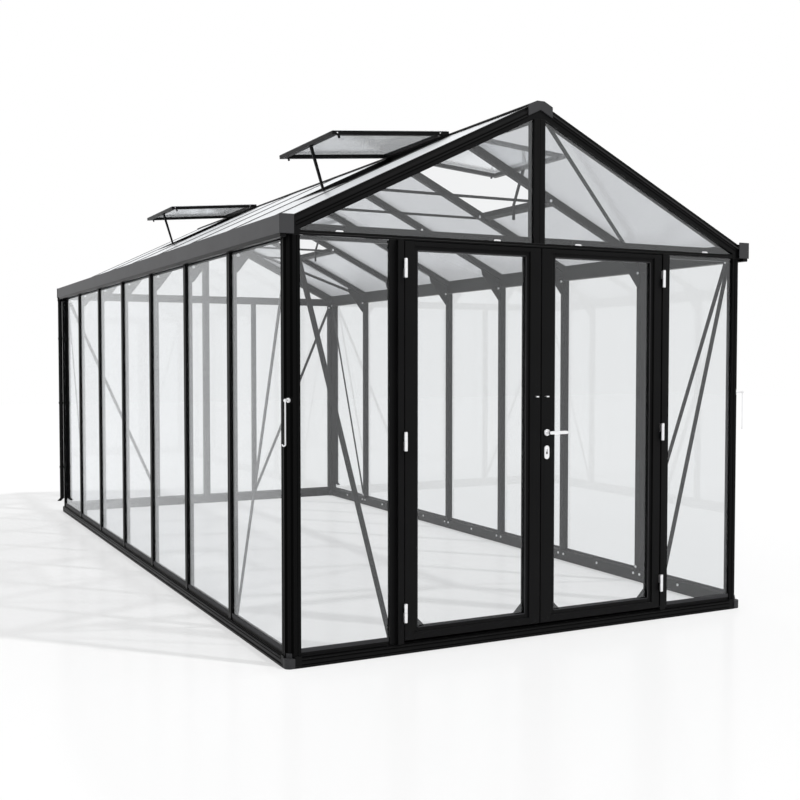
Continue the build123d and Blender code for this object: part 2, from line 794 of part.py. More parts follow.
# Transoms: grooved cap outside and a body inside that rises behind the gable panes
transom_top = transom_bottom + transom_cap_height
transom_body_top = transom_top + transom_body_rise
transom_mid = (transom_bottom + transom_top) / 2
transom_groove = cap_groove_width / 2
front_transom_section = [
    (-half_length + cap_groove_depth, transom_mid + transom_groove),
    (-half_length + cap_groove_depth, transom_mid - transom_groove),
    (-half_length, transom_mid - transom_groove),
    (-half_length, transom_bottom),
    (-half_length + cap_depth, transom_bottom),
    (-half_length + cap_depth, transom_bottom + transom_lap),
    (-inner_end, transom_bottom + transom_lap),
    (-inner_end, transom_top),
    (-half_length + body_front, transom_top),
    (-half_length + body_front, transom_top - transom_lap),
    (-half_length + cap_depth, transom_top - transom_lap),
    (-half_length + cap_depth, transom_top),
    (-half_length, transom_top),
    (-half_length, transom_mid + transom_groove),
]
back_transom_section = [
    (half_length, transom_bottom),
    (half_length - cap_depth, transom_bottom),
    (half_length - cap_depth, transom_bottom + transom_lap),
    (half_length - body_front, transom_bottom + transom_lap),
    (half_length - body_front, eave_beam_bottom),
    (inner_end, eave_beam_bottom),
    (inner_end, transom_top),
    (half_length - body_front, transom_top),
    (half_length - body_front, transom_top - transom_lap),
    (half_length - cap_depth, transom_top - transom_lap),
    (half_length - cap_depth, transom_top),
    (half_length, transom_top),
]
rafter_underside = roof_z(0, gable_rafter_depth)
body_reach = (rafter_underside - transom_body_top) / tan_roof
raised_body = [(post_inner_x, transom_top), (body_reach, transom_body_top)]
with BuildPart() as end_transoms:
    with BuildSketch(Plane.YZ.offset(back_post_width / 2)):
        Polygon(*back_transom_section, align=None)
    extrude(amount=post_inner_x - back_post_width / 2)
    with BuildSketch(Plane.XZ.offset(-glass_end)):
        Polygon(
            (back_post_width / 2, transom_top),
            *raised_body,
            (back_post_width / 2, transom_body_top),
            align=None,
        )
    extrude(amount=body_depth)
    mirror(about=Plane.YZ)
    with BuildSketch(Plane.YZ.offset(-post_inner_x)):
        Polygon(*front_transom_section, align=None)
    extrude(amount=2 * post_inner_x)
    with BuildSketch(Plane.XZ.offset(inner_end)):
        Polygon(*raised_body, *[(-u, v) for u, v in reversed(raised_body)], align=None)
    extrude(amount=body_depth)
end_transoms.part.label = "end_transoms"
export_step(end_transoms.part, "parts/end_transoms.step")


def king_outline(half, foot):
    """Front view of an upright that ends under the gable rafters and the ridge beam."""
    if half <= ridge_half_width:
        return [(-half, foot), (half, foot), (half, ridge_bottom), (-half, ridge_bottom)]
    shoulder = roof_z(half, gable_rafter_depth)
    right = [(half, foot), (half, shoulder), (ridge_half_width, ridge_bottom)]
    return right + [(-u, v) for u, v in reversed(right)]


# King post: the upright above the doors, from transom to ridge
king_web = king_cap_width - 2 * seat_depth
with BuildPart() as king_post:
    with BuildSketch(Plane.XZ.offset(half_length - cap_depth)):
        Polygon(*king_outline(king_cap_width / 2, transom_top), align=None)
    extrude(amount=cap_depth)
    with BuildSketch(Plane.XZ.offset(half_length - body_front)):
        Polygon(*king_outline(king_web / 2, transom_top), align=None)
    extrude(amount=glass_thickness)
    with BuildSketch(Plane.XZ.offset(half_length - gable_rafter_width)):
        Polygon(*king_outline(king_width / 2, transom_body_top), align=None)
    extrude(amount=gable_rafter_width - body_front)
    with BuildSketch(Plane.XZ.offset(half_length - cap_groove_depth)):
        with Locations((0, (transom_top + ridge_bottom) / 2)):
            Rectangle(cap_groove_width, ridge_bottom - transom_top)
    extrude(amount=cap_groove_depth, mode=Mode.SUBTRACT)
king_post.part.label = "king_post"
export_step(king_post.part, "parts/king_post.step")

# Back wall uprights: a tall middle post to the ridge and a bar on each side of it
back_bar = bar_profile(back_bar_width, back_bar_width)
back_web = back_post_width - 2 * seat_depth
with BuildPart() as back_uprights:
    with BuildSketch(Plane.XZ.offset(-half_length)):
        Polygon(*king_outline(back_post_width / 2, wall_foot), align=None)
    extrude(amount=cap_depth)
    with BuildSketch(Plane.XZ.offset(-half_length + cap_depth)):
        Polygon(*king_outline(back_web / 2, pane_foot), align=None)
    extrude(amount=glass_thickness)
    with BuildSketch(Plane.XZ.offset(-half_length + body_front)):
        Polygon(*king_outline(back_post_width / 2, pane_foot), align=None)
    extrude(amount=body_depth)
    for line in (-back_bar_line, back_bar_line):
        with BuildSketch(Plane.XY.offset(wall_foot)):
            Polygon(*[(line + v, half_length - u) for u, v in back_bar], align=None)
        extrude(amount=eave_beam_bottom - wall_foot)
        with BuildSketch(Plane.XY.offset(pane_foot)):
            with Locations((line, (glass_end + inner_end) / 2)):
                Rectangle(back_bar_width, body_depth)
        extrude(amount=seat_depth)
        with BuildSketch(Plane.XY.offset(eave_beam_bottom)):
            with Locations((line, half_length - (cap_groove_depth + cap_depth) / 2)):
                Rectangle(back_bar_width, cap_depth - cap_groove_depth)
            with Locations((line, glass_end + glass_thickness / 2)):
                Rectangle(web_width, glass_thickness)
        extrude(amount=transom_bottom - eave_beam_bottom)
back_uprights.part.label = "back_uprights"
export_step(back_uprights.part, "parts/back_uprights.step")

# Back wall glass: four panes below the transom
post_slot_x = post_inner_x + seat_depth - glass_edge_gap
middle_gap = back_web / 2 + glass_edge_gap
with BuildPart() as back_wall_glass:
    for low, high in ((middle_gap, back_bar_line - pane_gap), (back_bar_line + pane_gap, post_slot_x)):
        with BuildSketch(Plane.XY.offset(pane_foot)):
            with Locations(((low + high) / 2, glass_end + glass_thickness / 2)):
                Rectangle(high - low, glass_thickness)
        extrude(amount=pane_top - pane_foot)
    mirror(about=Plane.YZ)
back_wall_glass.part.label = "back_wall_glass"
export_step(back_wall_glass.part, "parts/back_wall_glass.step")

# Gable glass: two four-sided panes above each transom
gable_foot = transom_top - transom_lap + pane_top_gap
gable_top_depth = gable_slot_depth + glass_edge_gap
gable_far = post_inner_x - glass_edge_gap
gable_near = ridge_half_width + glass_edge_gap
gable_shoulder = ridge_bottom - glass_edge_gap


def gable_pane(start):
    """Front view of a gable pane that starts at a distance from the middle."""
    return [
        (start, gable_foot),
        (gable_far, gable_foot),
        (gable_far, roof_z(gable_far, gable_top_depth)),
        (gable_near, roof_z(gable_near, gable_top_depth)),
        (gable_near, gable_shoulder),
        (start, gable_shoulder),
    ]


with BuildPart() as gable_glass:
    with BuildSketch(Plane.XZ.offset(glass_end)):
        Polygon(*gable_pane(king_web / 2 + glass_edge_gap), align=None)
    extrude(amount=glass_thickness)
    with BuildSketch(Plane.XZ.offset(-glass_end - glass_thickness)):
        Polygon(*gable_pane(middle_gap), align=None)
    extrude(amount=glass_thickness)
    mirror(about=Plane.YZ)
gable_glass.part.label = "gable_glass"
export_step(gable_glass.part, "parts/gable_glass.step")

# Door jambs: a face that stands forward beside the doors and a lower step that holds the fixed panes
jamb_section = [
    (jamb_inner, jamb_face_y),
    (jamb_inner + jamb_face, jamb_face_y),
    (jamb_inner + jamb_face, -half_length),
    (jamb_outer, -half_length),
    (jamb_outer, -half_length + cap_depth),
    (jamb_outer - seat_depth, -half_length + cap_depth),
    (jamb_outer - seat_depth, -inner_end),
    (jamb_inner, -inner_end),
]
with BuildPart() as door_jambs:
    with BuildSketch(Plane.XY.offset(base_height)):
        Polygon(*jamb_section, align=None)
    extrude(amount=transom_bottom - base_height)
    mirror(about=Plane.YZ)
door_jambs.part.label = "door_jambs"
export_step(door_jambs.part, "parts/door_jambs.step")

# Door stops: strips between the jambs, behind the heads and the feet of the leaves
stop_front = leaf_back + stop_gap
stop_mid = (stop_front - inner_end) / 2
stop_depth = -inner_end - stop_front
head_stop_top = transom_bottom + transom_lap
with BuildPart() as door_stops:
    with BuildSketch(Plane.YZ.offset(-jamb_inner)):
        with Locations((stop_mid, head_stop_top - head_stop_height / 2)):
            Rectangle(stop_depth, head_stop_height)
        with Locations((stop_mid, base_height + foot_stop_height / 2)):
            Rectangle(stop_depth, foot_stop_height)
    extrude(amount=2 * jamb_inner)
door_stops.part.label = "door_stops"
export_step(door_stops.part, "parts/door_stops.step")

# Fixed front panes: one on each side of the doors
fixed_start = jamb_outer - seat_depth + glass_edge_gap
with BuildPart() as front_fixed_glass:
    with BuildSketch(Plane.XY.offset(pane_foot)):
        with Locations(((fixed_start + post_slot_x) / 2, -glass_end - glass_thickness / 2)):
            Rectangle(post_slot_x - fixed_start, glass_thickness)
    extrude(amount=pane_top - pane_foot)
    mirror(about=Plane.YZ)
front_fixed_glass.part.label = "front_fixed_glass"
export_step(front_fixed_glass.part, "parts/front_fixed_glass.step")

# Door leaves: stepped stiles and rails round one pane each
bead_front = leaf_front + leaf_bead_setback
slot_front = leaf_front + leaf_glass_setback
slot_back = slot_front + glass_thickness
meeting_edge = leaf_inner + meeting_stile_width
hinge_edge = leaf_outer - hinge_stile_width
meeting_bead = meeting_edge + leaf_bead
hinge_bead = hinge_edge - leaf_bead


def stile_section(outer, edge, bead, slot):
    """Plan of a stile: full face, set-back bead and a slot for the pane."""
    return [
        (outer, leaf_front),
        (edge, leaf_front),
        (edge, bead_front),
        (bead, bead_front),
        (bead, slot_front),
        (slot, slot_front),
        (slot, slot_back),
        (bead, slot_back),
        (bead, leaf_back),
        (outer, leaf_back),
    ]


meeting_slot = meeting_bead - leaf_slot_depth
hinge_slot = hinge_bead + leaf_slot_depth
spindle_x = leaf_inner + lever_inset
spindle_hole = spindle_radius + spindle_clearance
with BuildPart() as right_door_stiles:
    with BuildSketch(Plane.XY.offset(leaf_bottom)):
        Polygon(*stile_section(leaf_inner, meeting_edge, meeting_bead, meeting_slot), align=None)
        Polygon(*stile_section(leaf_outer, hinge_edge, hinge_bead, hinge_slot), align=None)
    extrude(amount=leaf_top - leaf_bottom)
    with BuildSketch(Plane.XZ.offset(-leaf_back)):
        with Locations((spindle_x, lever_height)):
            Circle(spindle_hole)
    extrude(amount=leaf_depth, mode=Mode.SUBTRACT)
right_door_stiles.part.label = "right_door_stiles"
export_step(right_door_stiles.part, "parts/right_door_stiles.step")

with BuildPart() as left_door_stiles:
    with BuildSketch(Plane.XY.offset(leaf_bottom)):
        Polygon(*stile_section(-leaf_inner, -meeting_edge, -meeting_bead, -meeting_slot), align=None)
        Polygon(*stile_section(-leaf_outer, -hinge_edge, -hinge_bead, -hinge_slot), align=None)
    extrude(amount=leaf_top - leaf_bottom)
left_door_stiles.part.label = "left_door_stiles"
export_step(left_door_stiles.part, "parts/left_door_stiles.step")


def rail_section(outer, bead, slot):
    """Side view of the deep part of a rail."""
    return [
        (bead_front, outer),
        (bead_front, bead),
        (slot_front, bead),
        (slot_front, slot),
        (slot_back, slot),
        (slot_back, bead),
        (leaf_back, bead),
        (leaf_back, outer),
    ]


top_edge = leaf_top - top_rail_height
top_bead = top_edge - leaf_bead
top_slot = top_bead + leaf_slot_depth
bottom_edge = leaf_bottom + bottom_rail_height
bottom_bead = bottom_edge + leaf_bead
bottom_slot = bottom_bead - leaf_slot_depth
with BuildPart() as right_door_rails:
    with BuildSketch(Plane.YZ.offset(meeting_bead)):
        Polygon(*rail_section(leaf_top, top_bead, top_slot), align=None)
        Polygon(*rail_section(leaf_bottom, bottom_bead, bottom_slot), align=None)
    extrude(amount=hinge_bead - meeting_bead)
    with BuildSketch(Plane.XZ.offset(-bead_front)):
        with Locations(((meeting_edge + hinge_edge) / 2, (leaf_top + top_edge) / 2)):
            Rectangle(hinge_edge - meeting_edge, top_rail_height)
        with Locations(((meeting_edge + hinge_edge) / 2, (leaf_bottom + bottom_edge) / 2)):
            Rectangle(hinge_edge - meeting_edge, bottom_rail_height)
    extrude(amount=leaf_bead_setback)
right_door_rails.part.label = "right_door_rails"
export_step(right_door_rails.part, "parts/right_door_rails.step")

with BuildPart() as left_door_rails:
    add(right_door_rails.part.mirror(Plane.YZ))
left_door_rails.part.label = "left_door_rails"
export_step(left_door_rails.part, "parts/left_door_rails.step")

leaf_pane_low = bottom_slot + glass_edge_gap
leaf_pane_high = top_slot - glass_edge_gap
leaf_pane_near = meeting_slot + glass_edge_gap
leaf_pane_far = hinge_slot - glass_edge_gap
with BuildPart() as right_door_glass:
    with BuildSketch(Plane.XY.offset(leaf_pane_low)):
        with Locations(((leaf_pane_near + leaf_pane_far) / 2, (slot_front + slot_back) / 2)):
            Rectangle(leaf_pane_far - leaf_pane_near, glass_thickness)
    extrude(amount=leaf_pane_high - leaf_pane_low)
right_door_glass.part.label = "right_door_glass"
export_step(right_door_glass.part, "parts/right_door_glass.step")

with BuildPart() as left_door_glass:
    add(right_door_glass.part.mirror(Plane.YZ))
left_door_glass.part.label = "left_door_glass"
export_step(left_door_glass.part, "parts/left_door_glass.step")

# Wind hook plane: on the chamfer of the right front post, level with the hook pin
hook_plane = Plane(
    origin=(half_width - post_chamfer / 2, -half_length + post_chamfer / 2, hook_height),
    x_dir=(1, 1, 0),
    z_dir=(1, -1, 0),
)
hook_start = hook_standoff - hook_wire / 2
hook_end = hook_standoff + hook_wire / 2

# Frame fittings: the lower hinge barrels with their pins on the jambs, and the pins for the wind hooks
barrel_half = hinge_height / 2
barrel_length = barrel_half - hinge_split_gap / 2
jamb_neck_mid = jamb_inner + hinge_neck / 2
leaf_neck_mid = leaf_outer - hinge_neck / 2
with BuildPart() as frame_fittings:
    for height in hinge_heights:
        with BuildSketch(Plane.XY.offset(height - barrel_half)):
            with Locations((hinge_axis_x, hinge_axis_y)):
                Circle(hinge_radius)
            with Locations((jamb_neck_mid, jamb_face_y - hinge_forward / 2)):
                Rectangle(hinge_neck, hinge_forward)
        extrude(amount=barrel_length)
        with BuildSketch(Plane.XY.offset(height - hinge_split_gap / 2)):
            with Locations((hinge_axis_x, hinge_axis_y)):
                Circle(hinge_pin_radius)
        extrude(amount=barrel_half)
    with BuildSketch(hook_plane):
        Circle(hook_plate_radius)
    extrude(amount=hook_plate_thickness)
    with BuildSketch(hook_plane):
        Circle(hook_pin_radius)
    extrude(amount=hook_end + hook_side_gap)
    with BuildSketch(hook_plane.offset(hook_end + hook_side_gap)):
        Circle(hook_head_radius)
    extrude(amount=hook_head_thickness)
    mirror(about=Plane.YZ)
frame_fittings.part.label = "frame_fittings"
export_step(frame_fittings.part, "parts/frame_fittings.step")

# Left door fittings: the upper hinge barrels, bored for the pins, and a drilled eye on the meeting stile
leaf_reach = leaf_front - hinge_axis_y
eye_x = leaf_inner + eye_inset
with BuildPart() as left_door_fittings:
    for height in hinge_heights:
        with BuildSketch(Plane.XY.offset(height + hinge_split_gap / 2)):
            with Locations((-hinge_axis_x, hinge_axis_y)):
                Circle(hinge_radius)
            with Locations((-leaf_neck_mid, leaf_front - leaf_reach / 2)):
                Rectangle(hinge_neck, leaf_reach)
            with Locations((-hinge_axis_x, hinge_axis_y)):
                Circle(hinge_pin_radius + hinge_pin_clearance, mode=Mode.SUBTRACT)
        extrude(amount=barrel_length)
    with BuildSketch(Plane.XY.offset(eye_height - eye_thickness / 2)):
        with Locations((-eye_x, leaf_front - eye_length / 2)):
            Rectangle(eye_width, eye_length)
            Circle(eye_hole_radius, mode=Mode.SUBTRACT)
    extrude(amount=eye_thickness)
left_door_fittings.part.label = "left_door_fittings"
export_step(left_door_fittings.part, "parts/left_door_fittings.step")

# Right door fittings: the same, with roses and oval lock plates on both faces
with BuildPart() as right_door_fittings:
    add(left_door_fittings.part.mirror(Plane.YZ))
    for face, reach in ((leaf_front, 1), (leaf_back, -1)):
        with BuildSketch(Plane.XZ.offset(-face)):
            with Locations((spindle_x, lever_height)):
                Circle(rose_radius)
                Circle(spindle_hole, mode=Mode.SUBTRACT)
        extrude(amount=reach * rose_thickness)
        with BuildSketch(Plane.XZ.offset(-face)):
            with Locations((spindle_x, lock_height)):
                SlotOverall(lock_tall, lock_width, rotation=90)
        extrude(amount=reach * lock_thickness)
right_door_fittings.part.label = "right_door_fittings"
export_step(right_door_fittings.part, "parts/right_door_fittings.step")

# Lever handle: an outer and an inner lever on one spindle through the leaf
lever_front = leaf_front - lever_forward
lever_back = leaf_back + lever_forward
lever_mid = spindle_x + (lever_length - lever_bar) / 2
with BuildPart() as lever_handle:
    with BuildSketch(Plane.XZ.offset(-lever_back)):
        with Locations((spindle_x, lever_height)):
            Circle(spindle_radius)
    extrude(amount=lever_back - lever_front)
    with BuildSketch(Plane.XZ.offset(-lever_front)):
        with Locations((lever_mid, lever_height)):
            SlotOverall(lever_length, lever_bar)
    extrude(amount=lever_thickness)
    with BuildSketch(Plane.XZ.offset(-lever_back)):
        with Locations((lever_mid, lever_height)):
            SlotOverall(lever_length, lever_bar)
    extrude(amount=-lever_thickness)
lever_handle.part.label = "lever_handle"
export_step(lever_handle.part, "parts/lever_handle.step")

# Wind hooks: a bent rod hanging from each pin, with an open bend at its foot
bend_outer = hook_bend_radius + hook_wire / 2
bend_inner = hook_bend_radius - hook_wire / 2
with BuildPart() as right_wind_hook:
    with BuildSketch(hook_plane.offset(hook_start)):
        with Locations((hook_bend_radius, -hook_length)):
            Circle(bend_outer)
            Circle(bend_inner, mode=Mode.SUBTRACT)
        with Locations((hook_bend_radius, -hook_length + bend_outer / 2)):
            Rectangle(2 * bend_outer, bend_outer, mode=Mode.SUBTRACT)
        with Locations((0, -hook_length / 2)):
            Rectangle(hook_wire, hook_length)
        Circle(hook_boss_radius)
        Circle(hook_pin_radius + hook_bore_clearance, mode=Mode.SUBTRACT)
    extrude(amount=hook_wire)
right_wind_hook.part.label = "right_wind_hook"
export_step(right_wind_hook.part, "parts/right_wind_hook.step")

with BuildPart() as left_wind_hook:
    add(right_wind_hook.part.mirror(Plane.YZ))
left_wind_hook.part.label = "left_wind_hook"
export_step(left_wind_hook.part, "parts/left_wind_hook.step")
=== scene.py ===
"""Glass greenhouse with a pitched roof, glazed double doors and four open roof vents, in a studio."""

import math

import bmesh
import bpy
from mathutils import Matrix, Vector


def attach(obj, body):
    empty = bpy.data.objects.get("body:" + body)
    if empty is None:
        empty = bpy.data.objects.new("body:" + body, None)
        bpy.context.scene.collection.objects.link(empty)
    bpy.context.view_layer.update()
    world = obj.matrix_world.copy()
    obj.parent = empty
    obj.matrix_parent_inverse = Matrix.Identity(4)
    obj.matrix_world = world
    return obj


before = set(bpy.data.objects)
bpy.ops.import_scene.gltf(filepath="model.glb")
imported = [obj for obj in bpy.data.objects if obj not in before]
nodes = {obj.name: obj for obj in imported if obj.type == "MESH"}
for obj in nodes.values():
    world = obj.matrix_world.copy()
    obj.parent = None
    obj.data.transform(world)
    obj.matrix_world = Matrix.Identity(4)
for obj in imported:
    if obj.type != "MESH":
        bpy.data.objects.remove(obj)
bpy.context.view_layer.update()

# Base frame: stepped aluminium sill rails and the door threshold, cut from one extrusion and powder
# coated satin black. The rails stand flat on the ground and carry the bars and the wall panes.
black = (0.0045, 0.0045, 0.0047)
black_roughness = 0.36
black_shine = 0.08
sill_edge = 0.0012
edge_steps = 2
sharp_angle = math.radians(40)
weld_reach = 0.00002


def powder_coat(name, colour, roughness, shine):
    """Powder coat: a faint orange-peel skin, slow colour drift and dusty, rougher patches."""
    mat = bpy.data.materials.new(name)
    mat.use_nodes = True
    tree = mat.node_tree
    coat = tree.nodes["Principled BSDF"]
    coat.inputs["Specular IOR Level"].default_value = shine
    place = tree.nodes.new("ShaderNodeTexCoord")
    drift = tree.nodes.new("ShaderNodeTexNoise")
    drift.inputs["Scale"].default_value = 3.5
    drift.inputs["Detail"].default_value = 5
    tone = tree.nodes.new("ShaderNodeValToRGB")
    tone.color_ramp.elements[0].position = 0.32
    tone.color_ramp.elements[0].color = (*[c * 0.82 for c in colour], 1)
    tone.color_ramp.elements[1].position = 0.72
    tone.color_ramp.elements[1].color = (*[c * 1.22 for c in colour], 1)
    haze = tree.nodes.new("ShaderNodeMapRange")
    haze.inputs["To Min"].default_value = roughness - 0.06
    haze.inputs["To Max"].default_value = roughness + 0.10
    peel = tree.nodes.new("ShaderNodeTexNoise")
    peel.inputs["Scale"].default_value = 420
    peel.inputs["Detail"].default_value = 2
    skin = tree.nodes.new("ShaderNodeBump")
    skin.inputs["Strength"].default_value = 0.06
    skin.inputs["Distance"].default_value = 0.0006
    for texture in (drift, peel):
        tree.links.new(place.outputs["Object"], texture.inputs["Vector"])
    tree.links.new(drift.outputs["Fac"], tone.inputs["Fac"])
    tree.links.new(tone.outputs["Color"], coat.inputs["Base Color"])
    tree.links.new(drift.outputs["Fac"], haze.inputs["Value"])
    tree.links.new(haze.outputs["Result"], coat.inputs["Roughness"])
    tree.links.new(peel.outputs["Fac"], skin.inputs["Height"])
    tree.links.new(skin.outputs["Normal"], coat.inputs["Normal"])
    return mat


def finish_node(name, material, edge=0.0):
    """Gives a carried-over piece its finish and, where asked, softly broken edges."""
    piece = nodes[name]
    piece.data.materials.clear()
    piece.data.materials.append(material)
    if edge:
        weld = piece.modifiers.new("joined_corners", "WELD")
        weld.merge_threshold = weld_reach
        bevel = piece.modifiers.new("broken_edges", "BEVEL")
        bevel.width = edge
        bevel.segments = edge_steps
        bevel.limit_method = "ANGLE"
        bevel.angle_limit = sharp_angle
    return piece


black_coat = powder_coat("black_coat", black, black_roughness, black_shine)
for name in ("base_side_rails", "end_sills", "door_threshold"):
    finish_node(name, black_coat, sill_edge)

# Sill bolts: stainless bolts with washers through the inner wall of the side rails, a pair beside each
# bar foot and one at the middle of each bay.
bar_lines = [-2.075, -1.245, -0.415, 0.415, 1.245, 2.075]
bay_middles = [-2.466, -1.66, -0.83, 0.0, 0.83, 1.66, 2.466]
inner_wall = 1.336
sill_bolt_height = 0.050
sill_bolt_spread = 0.031
steel = (0.86, 0.86, 0.87)
steel_roughness = 0.38
washer = [(0.0088, 0.0), (0.0088, 0.0012), (0.0058, 0.0016)]
washer_sides = 14
hexagon = [(0.0066, 0.0008), (0.0066, 0.0048), (0.0056, 0.0056), (0.0, 0.0057)]
hexagon_sides = 6
join_reach = 0.000001


def brushed_steel(name, colour, roughness):
    """Brushed stainless steel: fine upright brush marks over a slow change of sheen."""
    mat = bpy.data.materials.new(name)
    mat.use_nodes = True
    tree = mat.node_tree
    metal = tree.nodes["Principled BSDF"]
    metal.inputs["Metallic"].default_value = 1.0
    metal.inputs["Base Color"].default_value = (*colour, 1)
    place = tree.nodes.new("ShaderNodeTexCoord")
    stretch = tree.nodes.new("ShaderNodeMapping")
    stretch.inputs["Scale"].default_value = (1400, 1400, 60)
    brush = tree.nodes.new("ShaderNodeTexNoise")
    brush.inputs["Scale"].default_value = 1.0
    brush.inputs["Detail"].default_value = 3
    sheen = tree.nodes.new("ShaderNodeMapRange")
    sheen.inputs["To Min"].default_value = roughness - 0.08
    sheen.inputs["To Max"].default_value = roughness + 0.10
    marks = tree.nodes.new("ShaderNodeBump")
    marks.inputs["Strength"].default_value = 0.08
    marks.inputs["Distance"].default_value = 0.0002
    tree.links.new(place.outputs["Object"], stretch.inputs["Vector"])
    tree.links.new(stretch.outputs["Vector"], brush.inputs["Vector"])
    tree.links.new(brush.outputs["Fac"], sheen.inputs["Value"])
    tree.links.new(sheen.outputs["Result"], metal.inputs["Roughness"])
    tree.links.new(brush.outputs["Fac"], marks.inputs["Height"])
    tree.links.new(marks.outputs["Normal"], metal.inputs["Normal"])
    return mat


def add_turned(shape, spot, axis, profile, sides):
    """Adds a turned form to a shape: a profile of (radius, height) spun about an axis at a spot."""
    verts, faces = shape
    tilt = Vector((0, 0, 1)).rotation_difference(Vector(axis))
    first = len(verts)
    for radius, height in profile:
        for i in range(sides):
            angle = 2 * math.pi * i / sides
            rim = Vector((radius * math.cos(angle), radius * math.sin(angle), height))
            verts.append(Vector(spot) + tilt @ rim)
    for ring in range(len(profile) - 1):
        low = first + ring * sides
        for i in range(sides):
            j = (i + 1) % sides
            faces.append((low + i, low + j, low + sides + j, low + sides + i))
    faces.append(tuple(first + i for i in reversed(range(sides))))
    faces.append(tuple(len(verts) - sides + i for i in range(sides)))


def make_piece(name, shape, material, body):
    """Makes one joined piece of a shape, with its finish, and hangs it on the body that carries it."""
    mesh = bpy.data.meshes.new(name)
    mesh.from_pydata([tuple(v) for v in shape[0]], [], shape[1])
    tidy = bmesh.new()
    tidy.from_mesh(mesh)
    bmesh.ops.remove_doubles(tidy, verts=tidy.verts, dist=join_reach)
    bmesh.ops.recalc_face_normals(tidy, faces=tidy.faces)
    tidy.to_mesh(mesh)
    tidy.free()
    mesh.materials.append(material)
    piece = bpy.data.objects.new(name, mesh)
    bpy.context.collection.objects.link(piece)
    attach(piece, body)


def add_bolt(shape, spot, axis):
    """Adds a hexagon bolt head on its washer."""
    add_turned(shape, spot, axis, washer, washer_sides)
    add_turned(shape, spot, axis, hexagon, hexagon_sides)


bright_steel = brushed_steel("bright_steel", steel, steel_roughness)
sill_bolt_places = [line + step for line in bar_lines for step in (-sill_bolt_spread, sill_bolt_spread)]
sill_bolt_places += bay_middles
sill_bolts = ([], [])
for side in (-1, 1):
    for y in sill_bolt_places:
        add_bolt(sill_bolts, (side * inner_wall, y, sill_bolt_height), (-side, 0, 0))
make_piece("sill_bolts", sill_bolts, bright_steel, "frame")

# Base corners: cast aluminium feet with a rounded outer corner, coated dark grey, that clamp the sill
# rails together. A low tab with a button stands on each one, in front of the post's chamfer.
casting_grey = (0.036, 0.036, 0.038)
casting_roughness = 0.55
casting_shine = 0.22
casting_edge = 0.002
casting_top = 0.046
tab_height = 0.023
tab_half = 0.0135
tab_seat = 0.0003
tab_thick = 0.006
tab_round_in = 0.003
tab_round_back = 0.002
button = [(0.005, -0.001), (0.005, 0.001), (0.0035, 0.002), (0.002, 0.002), (0.0018, 0.0008)]
button_sides = 10
chamfer_x = 1.363
chamfer_y = 2.909


def add_bar(shape, start, end, corners):
    """Adds a straight bar to a shape: corner offsets carried from a start point to an end point."""
    verts, faces = shape
    first = len(verts)
    count = len(corners)
    for point in (start, end):
        for corner in corners:
            verts.append(Vector(point) + Vector(corner))
    faces.append(tuple(first + i for i in reversed(range(count))))
    faces.append(tuple(first + count + i for i in range(count)))
    for i in range(count):
        j = (i + 1) % count
        faces.append((first + i, first + j, first + count + j, first + count + i))


casting_coat = powder_coat("casting_coat", casting_grey, casting_roughness, casting_shine)
finish_node("base_corners", casting_coat, casting_edge)
casting_tabs = ([], [])
for sx in (-1, 1):
    for sy in (-1, 1):
        out = Vector((sx, sy, 0)).normalized()
        across = Vector((sx, -sy, 0)).normalized()
        foot = Vector((sx * chamfer_x, sy * chamfer_y, casting_top))
        outline = [
            -tab_half * across + tab_seat * out,
            -tab_half * across + (tab_thick - tab_round_back) * out,
            -(tab_half - tab_round_in) * across + tab_thick * out,
            (tab_half - tab_round_in) * across + tab_thick * out,
            tab_half * across + (tab_thick - tab_round_back) * out,
            tab_half * across + tab_seat * out,
        ]
        add_bar(casting_tabs, foot, foot + Vector((0, 0, tab_height)), outline)
        middle = foot + tab_thick * out + Vector((0, 0, tab_height / 2))
        add_turned(casting_tabs, middle, out, button, button_sides)
make_piece("casting_tabs", casting_tabs, casting_coat, "frame")

# Sill ribs: a half-round rib drawn along the outer face of every sill rail and of the threshold, between
# thin strips of matt black rubber laid on the face: painted shade for the sunk lines of the extrusion.
# Near-black rubber, laid as painted shade along sunk lines and grooves, in the keyway and over the pipe
# mouths.
shade_rubber = (0.0013, 0.0013, 0.0013)
rubber_roughness = 0.75
rubber_shine = 0.03
rib_low = 0.0372
rib_high = 0.0432
rib_proud = 0.0027
rib_shoulder = 0.001
rib_shoulder_share = 0.75
shade_line_levels = [(0.0108, 0.0150), (0.0300, 0.0350), (0.0455, 0.0530)]
shade_line_proud = 0.0005
rail_face = 1.385
sill_face = 2.931
rail_end = 2.854
sill_end = 1.308
shade_rubber_coat = powder_coat("shade_rubber", shade_rubber, rubber_roughness, rubber_shine)
rib_section = [
    (0.0, rib_low),
    (rib_shoulder_share * rib_proud, rib_low + rib_shoulder),
    (rib_proud, (rib_low + rib_high) / 2),
    (rib_shoulder_share * rib_proud, rib_high - rib_shoulder),
    (0.0, rib_high),
]
# Shade lines: thin near-black strips, painted shade where the sill has sunk lines.
shade_line_sections = [
    [(0.0, low), (shade_line_proud, low), (shade_line_proud, high), (0.0, high)]
    for low, high in shade_line_levels
]
sill_ribs = ([], [])
sill_shade_lines = ([], [])
for shape, sections in ((sill_ribs, [rib_section]), (sill_shade_lines, shade_line_sections)):
    for section in sections:
        for side in (-1, 1):
            rail = [(side * (rail_face + u), 0, v) for u, v in section]
            add_bar(shape, (0, -rail_end, 0), (0, rail_end, 0), rail)
            sill = [(0, side * (sill_face + u), v) for u, v in section]
            add_bar(shape, (-sill_end, 0, 0), (sill_end, 0, 0), sill)
make_piece("sill_ribs", sill_ribs, black_coat, "frame")
make_piece("sill_shade_lines", sill_shade_lines, shade_rubber_coat, "frame")
